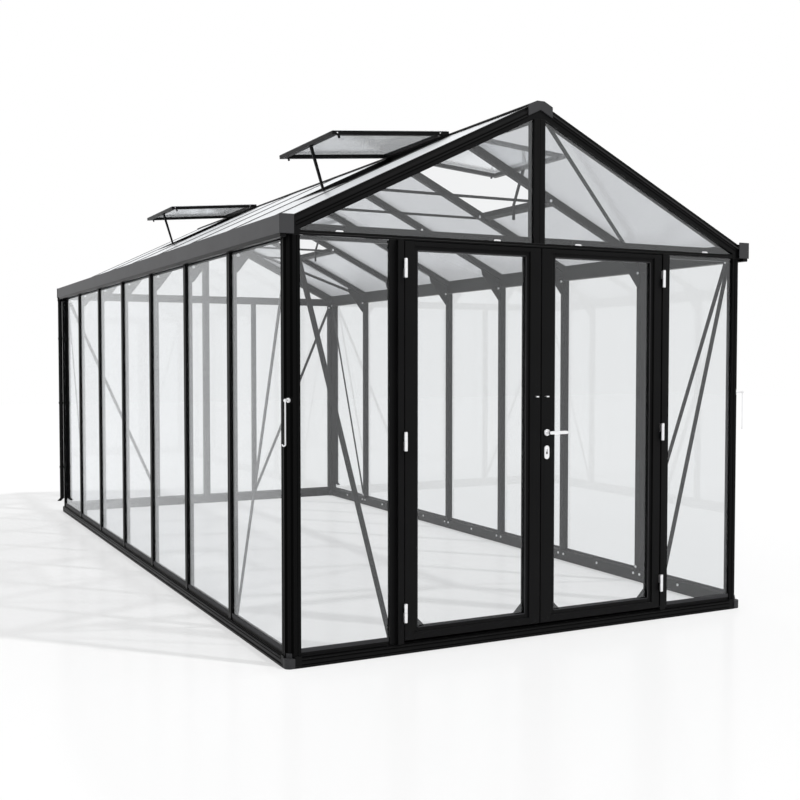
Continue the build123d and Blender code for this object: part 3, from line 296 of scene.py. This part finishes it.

# Corner posts and side wall bars: grooved aluminium extrusions, coated black. The bars stand on the
# sill, and their caps clamp the wall panes from outside. The posts get a darker copy of the black coat:
# painted shade on faces turned away from the light.
post_edge = 0.0012
# Darker black for the posts: painted shade, on the same powder coat as the bars.
post_shaded_black = (0.0026, 0.0026, 0.0027)
post_roughness = 0.42
post_shine = 0.055
post_shaded_coat = powder_coat("post_shaded_coat", post_shaded_black, post_roughness, post_shine)
finish_node("corner_posts", post_shaded_coat, post_edge)
finish_node("side_wall_bars", black_coat, post_edge)

# Post ribs and shade strips: a rounded rib down the middle of each post's chamfer, with a strip of matt
# black rubber on both sides of it, painted shade for the grooves beside the rib. On the front posts they
# stop at the plates of the wind hooks.
post_rib_half = 0.007
post_rib_rise = 0.003
post_rib_flank = 0.6
post_rib_swell = 0.8
shade_inlay_near = 0.0095
shade_inlay_far = 0.0215
shade_inlay_proud = 0.0006
post_foot = casting_top + tab_height
post_head = 1.995
hook_plate_low = 1.226
hook_plate_high = 1.254
post_rib_section = [
    (-post_rib_half, 0.0),
    (-post_rib_flank * post_rib_half, post_rib_swell * post_rib_rise),
    (0, post_rib_rise),
    (post_rib_flank * post_rib_half, post_rib_swell * post_rib_rise),
    (post_rib_half, 0.0),
]
# Strips beside the rib: painted shade for the grooves of the chamfer.
shade_inlay_section = [(shade_inlay_near, 0.0), (shade_inlay_near, shade_inlay_proud), (shade_inlay_far, shade_inlay_proud), (shade_inlay_far, 0.0)]
post_ribs = ([], [])
post_shade_inlays = ([], [])
for sx in (-1, 1):
    for sy in (-1, 1):
        out = Vector((sx, sy, 0)).normalized()
        across = Vector((sx, -sy, 0)).normalized()
        foot = Vector((sx * chamfer_x, sy * chamfer_y, 0))
        runs = [(post_foot, post_head)]
        if sy < 0:
            runs = [(post_foot, hook_plate_low), (hook_plate_high, post_head)]
        for low, high in runs:
            start = foot + Vector((0, 0, low))
            end = foot + Vector((0, 0, high))
            rib = [u * across + v * out for u, v in post_rib_section]
            add_bar(post_ribs, start, end, rib)
            for flank in (-1, 1):
                shade_inlay = [flank * u * across + v * out for u, v in shade_inlay_section]
                add_bar(post_shade_inlays, start, end, shade_inlay)
make_piece("post_ribs", post_ribs, post_shaded_coat, "frame")
make_piece("post_shade_inlays", post_shade_inlays, shade_rubber_coat, "frame")

# Panes: clear toughened glass, 4 mm thick, in the walls, the gables and the doors, and slightly darker
# panes in the roof. They sit in the slots of the bars with a hair of clearance to the metal.
pane_tint = (0.940, 0.944, 0.946)
roof_tint = (0.81, 0.815, 0.825)
vent_tint = (0.93, 0.935, 0.94)
mirror_tint = (0.97, 0.985, 1.0)
pane_mirror = 0.050
wall_smear = 0.0
roof_smear = 0.28
vent_smear = 0.12
pane_clearance = 0.0004


def pane_glass(name, tint, mirror, smear):
    """Thin clear glass with faint waves and wiping marks, which mirrors more as it is seen edge on."""
    mat = bpy.data.materials.new(name)
    mat.use_nodes = True
    tree = mat.node_tree
    tree.nodes.remove(tree.nodes["Principled BSDF"])
    clear = tree.nodes.new("ShaderNodeBsdfTransparent")
    clear.inputs["Color"].default_value = (*tint, 1)
    gloss = tree.nodes.new("ShaderNodeBsdfGlossy")
    gloss.inputs["Color"].default_value = (*mirror_tint, 1)
    place = tree.nodes.new("ShaderNodeTexCoord")
    wiped = tree.nodes.new("ShaderNodeTexNoise")
    wiped.inputs["Scale"].default_value = 2.2
    wiped.inputs["Detail"].default_value = 6
    film = tree.nodes.new("ShaderNodeMapRange")
    film.inputs["From Min"].default_value = 0.35
    film.inputs["From Max"].default_value = 0.75
    film.inputs["To Min"].default_value = smear
    film.inputs["To Max"].default_value = smear + 0.05
    waves = tree.nodes.new("ShaderNodeTexNoise")
    waves.inputs["Scale"].default_value = 1.4
    waves.inputs["Detail"].default_value = 1
    roll = tree.nodes.new("ShaderNodeBump")
    roll.inputs["Strength"].default_value = 0.03
    roll.inputs["Distance"].default_value = 0.01
    facing = tree.nodes.new("ShaderNodeLayerWeight")
    facing.inputs["Blend"].default_value = 0.5
    rise = tree.nodes.new("ShaderNodeMath")
    rise.operation = "POWER"
    rise.inputs[1].default_value = 5
    share = tree.nodes.new("ShaderNodeMapRange")
    share.inputs["To Min"].default_value = mirror
    share.inputs["To Max"].default_value = 1.0
    both = tree.nodes.new("ShaderNodeMixShader")
    for texture in (wiped, waves):
        tree.links.new(place.outputs["Object"], texture.inputs["Vector"])
    tree.links.new(wiped.outputs["Fac"], film.inputs["Value"])
    tree.links.new(film.outputs["Result"], gloss.inputs["Roughness"])
    tree.links.new(waves.outputs["Fac"], roll.inputs["Height"])
    tree.links.new(roll.outputs["Normal"], gloss.inputs["Normal"])
    tree.links.new(facing.outputs["Facing"], rise.inputs[0])
    tree.links.new(rise.outputs["Value"], share.inputs["Value"])
    tree.links.new(share.outputs["Result"], both.inputs["Fac"])
    tree.links.new(clear.outputs["BSDF"], both.inputs[1])
    tree.links.new(gloss.outputs["BSDF"], both.inputs[2])
    tree.links.new(both.outputs["Shader"], tree.nodes["Material Output"].inputs["Surface"])
    return mat


wall_glass = pane_glass("wall_glass", pane_tint, pane_mirror, wall_smear)
roof_pane = pane_glass("roof_pane", roof_tint, pane_mirror, roof_smear)
vent_pane = pane_glass("vent_pane", vent_tint, pane_mirror, vent_smear)
glass_of_panes = {
    "side_wall_glass": wall_glass,
    "gable_glass": wall_glass,
    "back_wall_glass": wall_glass,
    "front_fixed_glass": wall_glass,
    "left_door_glass": wall_glass,
    "right_door_glass": wall_glass,
    "roof_glass": roof_pane,
    "vent_glass": vent_pane,
}
for name, glass in glass_of_panes.items():
    pane = finish_node(name, glass)
    weld = pane.modifiers.new("joined_corners", "WELD")
    weld.merge_threshold = weld_reach
    slack = pane.modifiers.new("clearance", "DISPLACE")
    slack.mid_level = 0
    slack.strength = -pane_clearance

# Glazing wedges: strips of dark grey rubber pushed in along the foot of the fixed panes, against the
# outer lip of the sills. They stop short of the bars, the posts and the door jambs.
wedge_grey = (0.040, 0.040, 0.042)
wedge_roughness = 0.6
wedge_shine = 0.15
wedge_low = 0.068
wedge_high = 0.0875
wedge_thick = 0.0012
wedge_toe = 0.001
wedge_slope = 0.003
crest_near = -0.002
crest_far = -0.0035
crest_thick = 0.0012
crest_root = 0.0013
lip_x = 1.374
lip_y = 2.920
side_wall_end = 2.856
bar_gap = 0.021
end_gap = 0.001
front_run = (0.857, 1.309)
back_runs = ((0.032, 0.473), (0.517, 1.309))
wedge_rubber = powder_coat("wedge_rubber", wedge_grey, wedge_roughness, wedge_shine)
bay_edges = [-side_wall_end] + bar_lines + [side_wall_end]
last_bay = len(bay_edges) - 2
wedge_section = [
    (0.0, wedge_low),
    (wedge_thick, wedge_low + wedge_toe),
    (wedge_thick, wedge_high - wedge_slope),
    (crest_near, wedge_high),
    (crest_far, wedge_high),
    (crest_far, wedge_high - crest_thick),
    (0.0, wedge_high - crest_root),
]
wedges = ([], [])
for side in (-1, 1):
    for bay in range(last_bay + 1):
        low = bay_edges[bay] + (bar_gap if bay > 0 else end_gap)
        high = bay_edges[bay + 1] - (bar_gap if bay < last_bay else end_gap)
        corners = [(side * (lip_x + u), 0, v) for u, v in wedge_section]
        add_bar(wedges, (0, low, 0), (0, high, 0), corners)
    corners = [(0, -(lip_y + u), v) for u, v in wedge_section]
    add_bar(wedges, (side * front_run[0], 0, 0), (side * front_run[1], 0, 0), corners)
    corners = [(0, lip_y + u, v) for u, v in wedge_section]
    for near, far in back_runs:
        add_bar(wedges, (side * near, 0, 0), (side * far, 0, 0), corners)
make_piece("glazing_wedges", wedges, wedge_rubber, "frame")

# Eaves: black beams on top of the wall bars, and open gutters in dark grey with pressed end caps. A
# black drip trim runs under each gutter and stops at the downpipe; its black is also painted shade on
# the underside of the gutter.
gutter_grey = (0.085, 0.085, 0.088)
gutter_roughness = 0.5
cap_grey = (0.050, 0.050, 0.052)
cap_roughness = 0.55
eaves_shine = 0.2
cap_edge = 0.0015
gutter_coat = powder_coat("gutter_coat", gutter_grey, gutter_roughness, eaves_shine)
cap_coat = powder_coat("cap_coat", cap_grey, cap_roughness, eaves_shine)
finish_node("eave_beams", black_coat, post_edge)
finish_node("gutters", gutter_coat)
finish_node("gutter_end_caps", cap_coat, cap_edge)
trim_front = -2.936
trim_back = 2.866
# Drip trim under the gutter, black partly as painted shade of the gutter's underside.
shade_trim_section = [
    (1.3806, 1.986),
    (1.384, 1.982),
    (1.409, 1.982),
    (1.4112, 1.985),
    (1.4112, 1.9995),
    (1.3806, 1.9995),
]
shade_trims = ([], [])
for side in (-1, 1):
    add_bar(shade_trims, (0, trim_front, 0), (0, trim_back, 0), [(side * u, 0, v) for u, v in shade_trim_section])
make_piece("gutter_shade_trims", shade_trims, black_coat, "frame")

# Downpipes: black tubes under the back ends of the gutters, with three pressed bands that each close on
# a small lug, and a collar at the top. A dark outlet ring, closed across its middle, lies in the gutter
# over each pipe: its dark middle is painted shade for the mouth of the pipe.
pipe_x = 1.399
pipe_y = 2.891
pipe_sides = 24
band = [(0.0181, -0.009), (0.0205, -0.008), (0.0212, 0.0), (0.0205, 0.008), (0.0181, 0.009)]
band_heights = (0.42, 1.02, 1.62)
lug = [(0.004, 0.0), (0.004, 0.006), (0.003, 0.007)]
lug_reach = 0.0205
lug_sides = 8
collar = [(0.0181, -0.036), (0.0212, -0.034), (0.0212, -0.004), (0.0235, -0.002), (0.0235, -0.0004)]
collar_height = 2.0
outlet_x = 1.389
outlet_height = 2.004
# Outlet ring with a closed dark middle, painted shade for the mouth of the pipe.
outlet = [(0.0135, 0.0001), (0.0135, 0.002), (0.0105, 0.003), (0.0095, 0.001), (0.0, 0.0008)]
outlet_sides = 20
finish_node("downpipes", black_coat)
pipe_bands = ([], [])
outlet_shades = ([], [])
for side in (-1, 1):
    for height in band_heights:
        add_turned(pipe_bands, (side * pipe_x, pipe_y, height), (0, 0, 1), band, pipe_sides)
        add_turned(pipe_bands, (side * pipe_x, pipe_y - lug_reach, height), (0, -1, 0), lug, lug_sides)
    add_turned(pipe_bands, (side * pipe_x, pipe_y, collar_height), (0, 0, 1), collar, pipe_sides)
    add_turned(outlet_shades, (side * outlet_x, pipe_y, outlet_height), (0, 0, 1), outlet, outlet_sides)
make_piece("pipe_bands", pipe_bands, black_coat, "frame")
make_piece("gutter_outlet_shades", outlet_shades, shade_rubber_coat, "frame")

# Roof frame: gable rafters, glazing bars and a ridge beam with its capping, all black extrusions, with
# dark grey caps over the ends of the ridge. Along the face of each gable rafter run a slope and a rib,
# with a near-black rubber line on both sides of the rib: painted shade for the grooves beside it.
roof_slope = math.radians(26)
apex_height = 2.74007
slope_run = (0.034, 1.362)
rib_run = (0.076, 1.330)
for name in ("gable_rafters", "roof_rafters", "ridge_beam", "vent_sills"):
    finish_node(name, black_coat, post_edge)
finish_node("ridge_end_caps", cap_coat, cap_edge)


def roof_height(x, depth):
    """Height of the roof at a distance from the ridge, some depth below the tops of the bars."""
    return apex_height - math.tan(roof_slope) * abs(x) - depth / math.cos(roof_slope)


face_slope = [(2.9159, 0.014), (2.9159, 0.0285), (2.9263, 0.0285), (2.9263, 0.0265)]
face_rib = [(2.9255, 0.0375), (2.9280, 0.0387), (2.9286, 0.0405), (2.9280, 0.0423), (2.9255, 0.0435)]
# Rubber lines beside the rib: painted shade for the grooves of the rafter face.
upper_shade_line = [(2.9255, 0.0310), (2.9264, 0.0310), (2.9264, 0.0352), (2.9255, 0.0352)]
lower_shade_line = [(2.9255, 0.0458), (2.9264, 0.0458), (2.9264, 0.0500), (2.9255, 0.0500)]
rafter_faces = ([], [])
rafter_shade_lines = ([], [])
for sx in (-1, 1):
    for sy in (-1, 1):
        for shape, section, run in (
            (rafter_faces, face_slope, slope_run),
            (rafter_faces, face_rib, rib_run),
            (rafter_shade_lines, upper_shade_line, rib_run),
            (rafter_shade_lines, lower_shade_line, rib_run),
        ):
            corners = [(0, sy * y, -depth / math.cos(roof_slope)) for y, depth in section]
            start, end = [(sx * x, 0, roof_height(x, 0)) for x in run]
            add_bar(shape, start, end, corners)
make_piece("rafter_faces", rafter_faces, black_coat, "frame")
make_piece("rafter_shade_lines", rafter_shade_lines, shade_rubber_coat, "frame")

# Roof vents: light black frames that carry one pane each, propped open on struts, with stainless screws
# through each end of their side bars, from outside and from below.
vent_edge = 0.001
vent_slope = math.radians(5)
vent_root_x = 0.046
vent_lift = 0.001
vent_root_z = roof_height(vent_root_x, 0) + vent_lift
vent_spans = ((-2.07, -1.25), (1.25, 2.07))
screw = [
    (0.0036, 0.0),
    (0.0036, 0.0006),
    (0.0030, 0.0016),
    (0.0018, 0.0020),
    (0.0012, 0.0020),
    (0.0010, 0.0009),
]
screw_sides = 12
screw_places = (0.060, 0.706)
screw_rise = 0.011
screw_inset = 0.017
for name in ("vent_side_bars", "vent_cross_bars", "vent_struts"):
    finish_node(name, black_coat, vent_edge)
vent_screws = ([], [])
for side in (-1, 1):
    for low, high in vent_spans:
        for along in screw_places:
            x = vent_root_x + along * math.cos(vent_slope)
            z = vent_root_z - along * math.sin(vent_slope)
            for y, facing_y in ((low, -1), (high, 1)):
                add_turned(vent_screws, (side * x, y, z + screw_rise), (0, facing_y, 0), screw, screw_sides)
            for y in (low + screw_inset, high - screw_inset):
                add_turned(vent_screws, (side * x, y, z), (0, 0, -1), screw, screw_sides)
make_piece("vent_screws", vent_screws, bright_steel, "frame")

# Ties, knee plates and braces: flat black bars and plates inside the frame, fixed with stainless bolts
# and, along the knees, black ones. The slanted edge of each knee is wider, and a flange hangs under
# each roof brace.
knee_edge = [
    (1.336, 1.9043),
    (1.186, 2.1125),
    (1.170, 2.1203),
    (1.180, 2.073),
    (1.323, 1.886),
    (1.336, 1.882),
]
knee_half = 0.004
knee_foot_bolt = (1.323, 1.974)
knee_black_bolts = [(1.318, 2.022), (1.222, 2.074)]
tie_front_bolt = (0.646, 2.3845)
tie_front_face = -0.020
tie_back_bolt = (0.652, 2.380)
tie_back_face = 0.025
brace_bolt_shares = (0.012, 0.985)
side_brace_face = 1.331
side_brace_head = (2.856, 2.0055)
side_brace_foot = (2.062, 0.067)
end_brace_face = 2.877
end_brace_head = (1.323, 1.984)
front_brace_foot = (0.829, 0.067)
back_brace_foot = (0.482, 0.067)
flange_top = 0.0492
flange_bottom = 0.062
flange_half = 0.0015
flange_ridge = (0.110, 2.858)
flange_eave = (1.270, 2.109)
flange_section = [
    (-flange_half, flange_top),
    (flange_half, flange_top),
    (flange_half, flange_bottom),
    (-flange_half, flange_bottom),
]
for name in ("collar_ties", "knee_plates", "wall_braces", "roof_braces"):
    finish_node(name, black_coat)
frame_bolts = ([], [])
black_bolts = ([], [])
knee_edges = ([], [])
brace_flanges = ([], [])
for side in (-1, 1):
    for line in bar_lines:
        corners = [(side * x, 0, z) for x, z in knee_edge]
        add_bar(knee_edges, (0, line - knee_half, 0), (0, line + knee_half, 0), corners)
        for facing_y in (-1, 1):
            face = line + facing_y * knee_half
            x, z = knee_foot_bolt
            add_bolt(frame_bolts, (side * x, face, z), (0, facing_y, 0))
            for x, z in knee_black_bolts:
                add_bolt(black_bolts, (side * x, face, z), (0, facing_y, 0))
        x, z = tie_front_bolt
        add_bolt(frame_bolts, (side * x, line + tie_front_face, z), (0, -1, 0))
        x, z = tie_back_bolt
        add_bolt(frame_bolts, (side * x, line + tie_back_face, z), (0, 1, 0))
    for end in (-1, 1):
        for share in brace_bolt_shares:
            y = side_brace_head[0] + share * (side_brace_foot[0] - side_brace_head[0])
            z = side_brace_head[1] + share * (side_brace_foot[1] - side_brace_head[1])
            add_bolt(frame_bolts, (side * side_brace_face, end * y, z), (-side, 0, 0))
    for end, brace_foot in ((-1, front_brace_foot), (1, back_brace_foot)):
        for share in brace_bolt_shares:
            x = end_brace_head[0] + share * (brace_foot[0] - end_brace_head[0])
            z = end_brace_head[1] + share * (brace_foot[1] - end_brace_head[1])
            add_bolt(frame_bolts, (side * x, end * end_brace_face, z), (0, -end, 0))
    for end in (-1, 1):
        flange = [(0, u, -depth / math.cos(roof_slope)) for u, depth in flange_section]
        top = (side * flange_ridge[0], end * flange_ridge[1], roof_height(flange_ridge[0], 0))
        bottom = (side * flange_eave[0], end * flange_eave[1], roof_height(flange_eave[0], 0))
        add_bar(brace_flanges, top, bottom, flange)
make_piece("knee_edges", knee_edges, black_coat, "frame")
make_piece("brace_flanges", brace_flanges, black_coat, "frame")
make_piece("frame_bolts", frame_bolts, bright_steel, "frame")
make_piece("black_bolts", black_bolts, black_coat, "frame")

# Gable frames: transoms, the stops behind the doors, the king post and the uprights of the back wall,
# black extrusions. Bright spring clips on the transoms hold the feet of the gable panes.
clip_places = (-1.11, -0.248, 0.248, 1.11)
clip_foot = 2.0192
clip_half = 0.020
clip_rise = 0.008
clip_shoulder = 0.004
clip_top_share = 0.7
clip_ear_share = 0.4
clip_back = 2.9167
clip_face = 2.9195
clip_ear_end = 2.9255
clip_outline = [
    (-clip_half, 0, 0.0),
    (-clip_half, 0, clip_shoulder),
    (-clip_top_share * clip_half, 0, clip_rise),
    (clip_top_share * clip_half, 0, clip_rise),
    (clip_half, 0, clip_shoulder),
    (clip_half, 0, 0.0),
]
ear_outline = [
    (-clip_ear_share * clip_half, 0, 0.0),
    (-clip_ear_share * clip_half, 0, clip_shoulder),
    (clip_ear_share * clip_half, 0, clip_shoulder),
    (clip_ear_share * clip_half, 0, 0.0),
]
for name in ("end_transoms", "door_stops", "king_post", "back_uprights"):
    finish_node(name, black_coat, post_edge)
gable_clips = ([], [])
for sy in (-1, 1):
    for x in clip_places:
        face = (x, sy * clip_face, clip_foot)
        add_bar(gable_clips, (x, sy * clip_back, clip_foot), face, clip_outline)
        add_bar(gable_clips, face, (x, sy * clip_ear_end, clip_foot), ear_outline)
make_piece("gable_clips", gable_clips, bright_steel, "frame")

# Transom lips: the inner lips under the transoms, drawn with them in one black extrusion. They stand
# behind the heads of the fixed panes and keep them from tipping inward.
transom_lip_foot = 1.9796
transom_lip_head = 1.9968
transom_lip_outer = 2.9114
transom_lip_inner = 2.8822
transom_lip_round = 0.003
transom_lip_runs = ((-1, 0.8556, 1.3095), (1, 0.0325, 0.473), (1, 0.517, 1.3095))
transom_lip_section = [
    (transom_lip_outer, transom_lip_head),
    (transom_lip_outer, transom_lip_foot + transom_lip_round),
    (transom_lip_outer - transom_lip_round, transom_lip_foot),
    (transom_lip_inner, transom_lip_foot),
    (transom_lip_inner, transom_lip_head),
]
transom_lips = ([], [])
for side in (-1, 1):
    for sy, near, far in transom_lip_runs:
        corners = [(0, sy * y, z) for y, z in transom_lip_section]
        add_bar(transom_lips, (side * near, 0, 0), (side * far, 0, 0), corners)
make_piece("transom_lips", transom_lips, black_coat, "frame")

# Doors: jambs and two glazed leaves, each of stepped black stiles and rails screwed at the corners, with
# gussets inside the two lower corners and a rubber bead round the pane.
opening_near = 0.091
opening_far = 0.708
opening_low = 0.127
opening_high = 1.947
gusset_leg = 0.045
gusset_front = -2.9225
gusset_back = -2.9035
bead_face = 2.938
bead_section = [(0.0, 0.0), (0.0, 0.0009), (0.0022, 0.0016), (0.0045, 0.0009), (0.0045, 0.0)]
for name in ("door_jambs", "left_door_stiles", "right_door_stiles", "left_door_rails", "right_door_rails"):
    finish_node(name, black_coat, post_edge)
for side, body in ((-1, "left_door"), (1, "right_door")):
    gussets = ([], [])
    for x, step in ((opening_near, 1), (opening_far, -1)):
        outline = [
            (side * x, 0, opening_low),
            (side * (x + step * gusset_leg), 0, opening_low),
            (side * x, 0, opening_low + gusset_leg),
        ]
        add_bar(gussets, (0, gusset_front, 0), (0, gusset_back, 0), outline)
    make_piece(f"{body}_gussets", gussets, black_coat, body)
    beads = ([], [])
    for x, step in ((opening_near, -1), (opening_far, 1)):
        corners = [(side * (x + step * u), -bead_face - v, 0) for u, v in bead_section]
        add_bar(beads, (0, 0, opening_low), (0, 0, opening_high), corners)
    for z, step in ((opening_low, -1), (opening_high, 1)):
        corners = [(0, -bead_face - v, z + step * u) for u, v in bead_section]
        add_bar(beads, (side * opening_near, 0, 0), (side * opening_far, 0, 0), corners)
    make_piece(f"{body}_beads", beads, wedge_rubber, body)

# Hinges, lever, lock plates, eyes and wind hooks: brushed stainless steel, turned and pressed. The hinge
# barrels end in low domes, the lower ones on the frame and the upper ones on the leaves.
fitting_edge = 0.0005
hinge_x = 0.785
hinge_y = -2.962
hinge_heights = (0.205, 1.0335, 1.862)
hinge_half = 0.044
dome = [(0.0090, 0.0), (0.0086, 0.0012), (0.0066, 0.0026), (0.0030, 0.0034), (0.0, 0.0036)]
dome_sides = 16
for name in (
    "frame_fittings",
    "left_door_fittings",
    "right_door_fittings",
    "lever_handle",
    "left_wind_hook",
    "right_wind_hook",
):
    finish_node(name, bright_steel, fitting_edge)
low_domes = ([], [])
for side, body in ((-1, "left_door"), (1, "right_door")):
    high_domes = ([], [])
    for height in hinge_heights:
        add_turned(low_domes, (side * hinge_x, hinge_y, height - hinge_half), (0, 0, -1), dome, dome_sides)
        add_turned(high_domes, (side * hinge_x, hinge_y, height + hinge_half), (0, 0, 1), dome, dome_sides)
    make_piece(f"{body}_hinge_domes", high_domes, bright_steel, body)
make_piece("frame_hinge_domes", low_domes, bright_steel, "frame")

# Lock cylinder: a steel plug with its key slot shows in the lock plate on both faces of the right leaf.
# The slot and the narrow foot of the cylinder below it are dark strips: painted shade of the keyway and of
# the foot's outline.
lock_x = 0.034
lock_height = 0.950
plug_rise = 0.012
plug_height = lock_height + plug_rise
plate_faces = ((-2.953, -1), (-2.897, 1))
plug = [(0.0085, 0.0), (0.0085, 0.0012), (0.0078, 0.0018), (0.0, 0.0019)]
plug_sides = 20
# Key slot and cylinder foot: dark strips, painted shade.
key_slot = [(-0.0013, 0, -0.0085), (0.0013, 0, -0.0085), (0.0013, 0, 0.0055), (-0.0013, 0, 0.0055)]
key_slot_back = 0.0015
key_slot_front = 0.0022
cylinder_foot = [(-0.0042, 0, -0.021), (0.0042, 0, -0.021), (0.0042, 0, -0.009), (-0.0042, 0, -0.009)]
cylinder_foot_proud = 0.0006
lock_plugs = ([], [])
key_slot_shades = ([], [])
for face, out in plate_faces:
    seat = (lock_x, face, plug_height)
    add_turned(lock_plugs, seat, (0, out, 0), plug, plug_sides)
    slot_back = (lock_x, face + out * key_slot_back, plug_height)
    slot_front = (lock_x, face + out * key_slot_front, plug_height)
    add_bar(key_slot_shades, slot_back, slot_front, key_slot)
    foot_front = (lock_x, face + out * cylinder_foot_proud, plug_height)
    add_bar(key_slot_shades, seat, foot_front, cylinder_foot)
make_piece("lock_plugs", lock_plugs, bright_steel, "right_door")
make_piece("key_slot_shades", key_slot_shades, shade_rubber_coat, "right_door")

# Studio floor: a broad, faintly polished sheet that looks white to the camera and in the glass and
# metal, keeps the building's shadow and sends a duller light up onto the frame.
floor_reach = 28.0
floor_dull = (0.54, 0.55, 0.57)
floor_white = (1.0, 1.0, 1.0)
floor_shadow_share = 0.5
floor_polish_roughness = 0.15
floor_polish_share = 0.055
floor_mesh = bpy.data.meshes.new("floor")
floor_mesh.from_pydata(
    [(-floor_reach, -floor_reach, 0), (floor_reach, -floor_reach, 0),
     (floor_reach, floor_reach, 0), (-floor_reach, floor_reach, 0)],
    [], [(0, 1, 2, 3)],
)
floor = bpy.data.objects.new("floor", floor_mesh)
bpy.context.collection.objects.link(floor)
floor_paint = bpy.data.materials.new("floor_paint")
floor_paint.use_nodes = True
paint = floor_paint.node_tree
paint.nodes.remove(paint.nodes["Principled BSDF"])
dull = paint.nodes.new("ShaderNodeBsdfDiffuse")
dull.inputs["Color"].default_value = (*floor_dull, 1)
shaded = paint.nodes.new("ShaderNodeBsdfDiffuse")
shaded.inputs["Color"].default_value = (*floor_white, 1)
white = paint.nodes.new("ShaderNodeEmission")
polish = paint.nodes.new("ShaderNodeBsdfGlossy")
polish.inputs["Roughness"].default_value = floor_polish_roughness
pale = paint.nodes.new("ShaderNodeMixShader")
pale.inputs["Fac"].default_value = floor_shadow_share
polished = paint.nodes.new("ShaderNodeMixShader")
polished.inputs["Fac"].default_value = floor_polish_share
floor_ray = paint.nodes.new("ShaderNodeLightPath")
floor_seen = paint.nodes.new("ShaderNodeMath")
floor_seen.operation = "MAXIMUM"
floor_shown = paint.nodes.new("ShaderNodeMath")
floor_shown.operation = "MAXIMUM"
floor_choice = paint.nodes.new("ShaderNodeMixShader")
paint.links.new(white.outputs["Emission"], pale.inputs[1])
paint.links.new(shaded.outputs["BSDF"], pale.inputs[2])
paint.links.new(pale.outputs["Shader"], polished.inputs[1])
paint.links.new(polish.outputs["BSDF"], polished.inputs[2])
paint.links.new(floor_ray.outputs["Is Camera Ray"], floor_seen.inputs[0])
paint.links.new(floor_ray.outputs["Is Glossy Ray"], floor_seen.inputs[1])
paint.links.new(floor_seen.outputs["Value"], floor_shown.inputs[0])
paint.links.new(floor_ray.outputs["Is Transmission Ray"], floor_shown.inputs[1])
paint.links.new(floor_shown.outputs["Value"], floor_choice.inputs["Fac"])
paint.links.new(dull.outputs["BSDF"], floor_choice.inputs[1])
paint.links.new(polished.outputs["Shader"], floor_choice.inputs[2])
paint.links.new(floor_choice.outputs["Shader"], paint.nodes["Material Output"].inputs["Surface"])
floor_mesh.materials.append(floor_paint)

# Studio backdrop: plain white paper to the camera and in the glass and metal, and a softer even light
# from all round onto the building.
paper_white = (1.0, 1.0, 1.0)
even_light = 0.70
backdrop_light = 1.0
world = bpy.data.worlds.new("studio")
bpy.context.scene.world = world
world.use_nodes = True
sky = world.node_tree
ambient = sky.nodes["Background"]
ambient.inputs["Color"].default_value = (*paper_white, 1)
ambient.inputs["Strength"].default_value = even_light
backdrop = sky.nodes.new("ShaderNodeBackground")
backdrop.inputs["Color"].default_value = (*paper_white, 1)
backdrop.inputs["Strength"].default_value = backdrop_light
ray = sky.nodes.new("ShaderNodeLightPath")
seen = sky.nodes.new("ShaderNodeMath")
seen.operation = "MAXIMUM"
shown = sky.nodes.new("ShaderNodeMath")
shown.operation = "MAXIMUM"
choice = sky.nodes.new("ShaderNodeMixShader")
sky.links.new(ray.outputs["Is Camera Ray"], seen.inputs[0])
sky.links.new(ray.outputs["Is Glossy Ray"], seen.inputs[1])
sky.links.new(seen.outputs["Value"], shown.inputs[0])
sky.links.new(ray.outputs["Is Transmission Ray"], shown.inputs[1])
sky.links.new(shown.outputs["Value"], choice.inputs["Fac"])
sky.links.new(ambient.outputs["Background"], choice.inputs[1])
sky.links.new(backdrop.outputs["Background"], choice.inputs[2])
sky.links.new(choice.outputs["Shader"], sky.nodes["World Output"].inputs["Surface"])

# Sun lamp: a small, slightly soft sun from the right and in front, which throws the shadow of the frame
# across the floor to the left.
sun_strength = 1.5
sun_width = math.radians(2)
sun_direction = Vector((-0.44, 0.47, -0.77))
sun_data = bpy.data.lights.new("soft_sun", "SUN")
sun_data.energy = sun_strength
sun_data.angle = sun_width
sun = bpy.data.objects.new("soft_sun", sun_data)
sun.rotation_euler = sun_direction.to_track_quat("-Z", "Y").to_euler()
bpy.context.collection.objects.link(sun)

# Camera: where the photographer stood, to the left of the doors at eye height, turned toward the near
# post and tipped down a little.
photo_pixels = 800
focal_pixels = 1085.7
sensor_width = 36
camera_place = (-3.1536, -7.5741, 1.4287)
camera_tip = math.radians(90 - 2.16)
camera_turn = math.radians(-26.87)
camera_data = bpy.data.cameras.new("camera")
camera_data.sensor_width = sensor_width
camera_data.lens = focal_pixels / photo_pixels * sensor_width
camera = bpy.data.objects.new("camera", camera_data)
camera.location = camera_place
camera.rotation_euler = (camera_tip, 0, camera_turn)
bpy.context.collection.objects.link(camera)
bpy.context.scene.camera = camera
bpy.context.scene.view_settings.view_transform = "Standard"
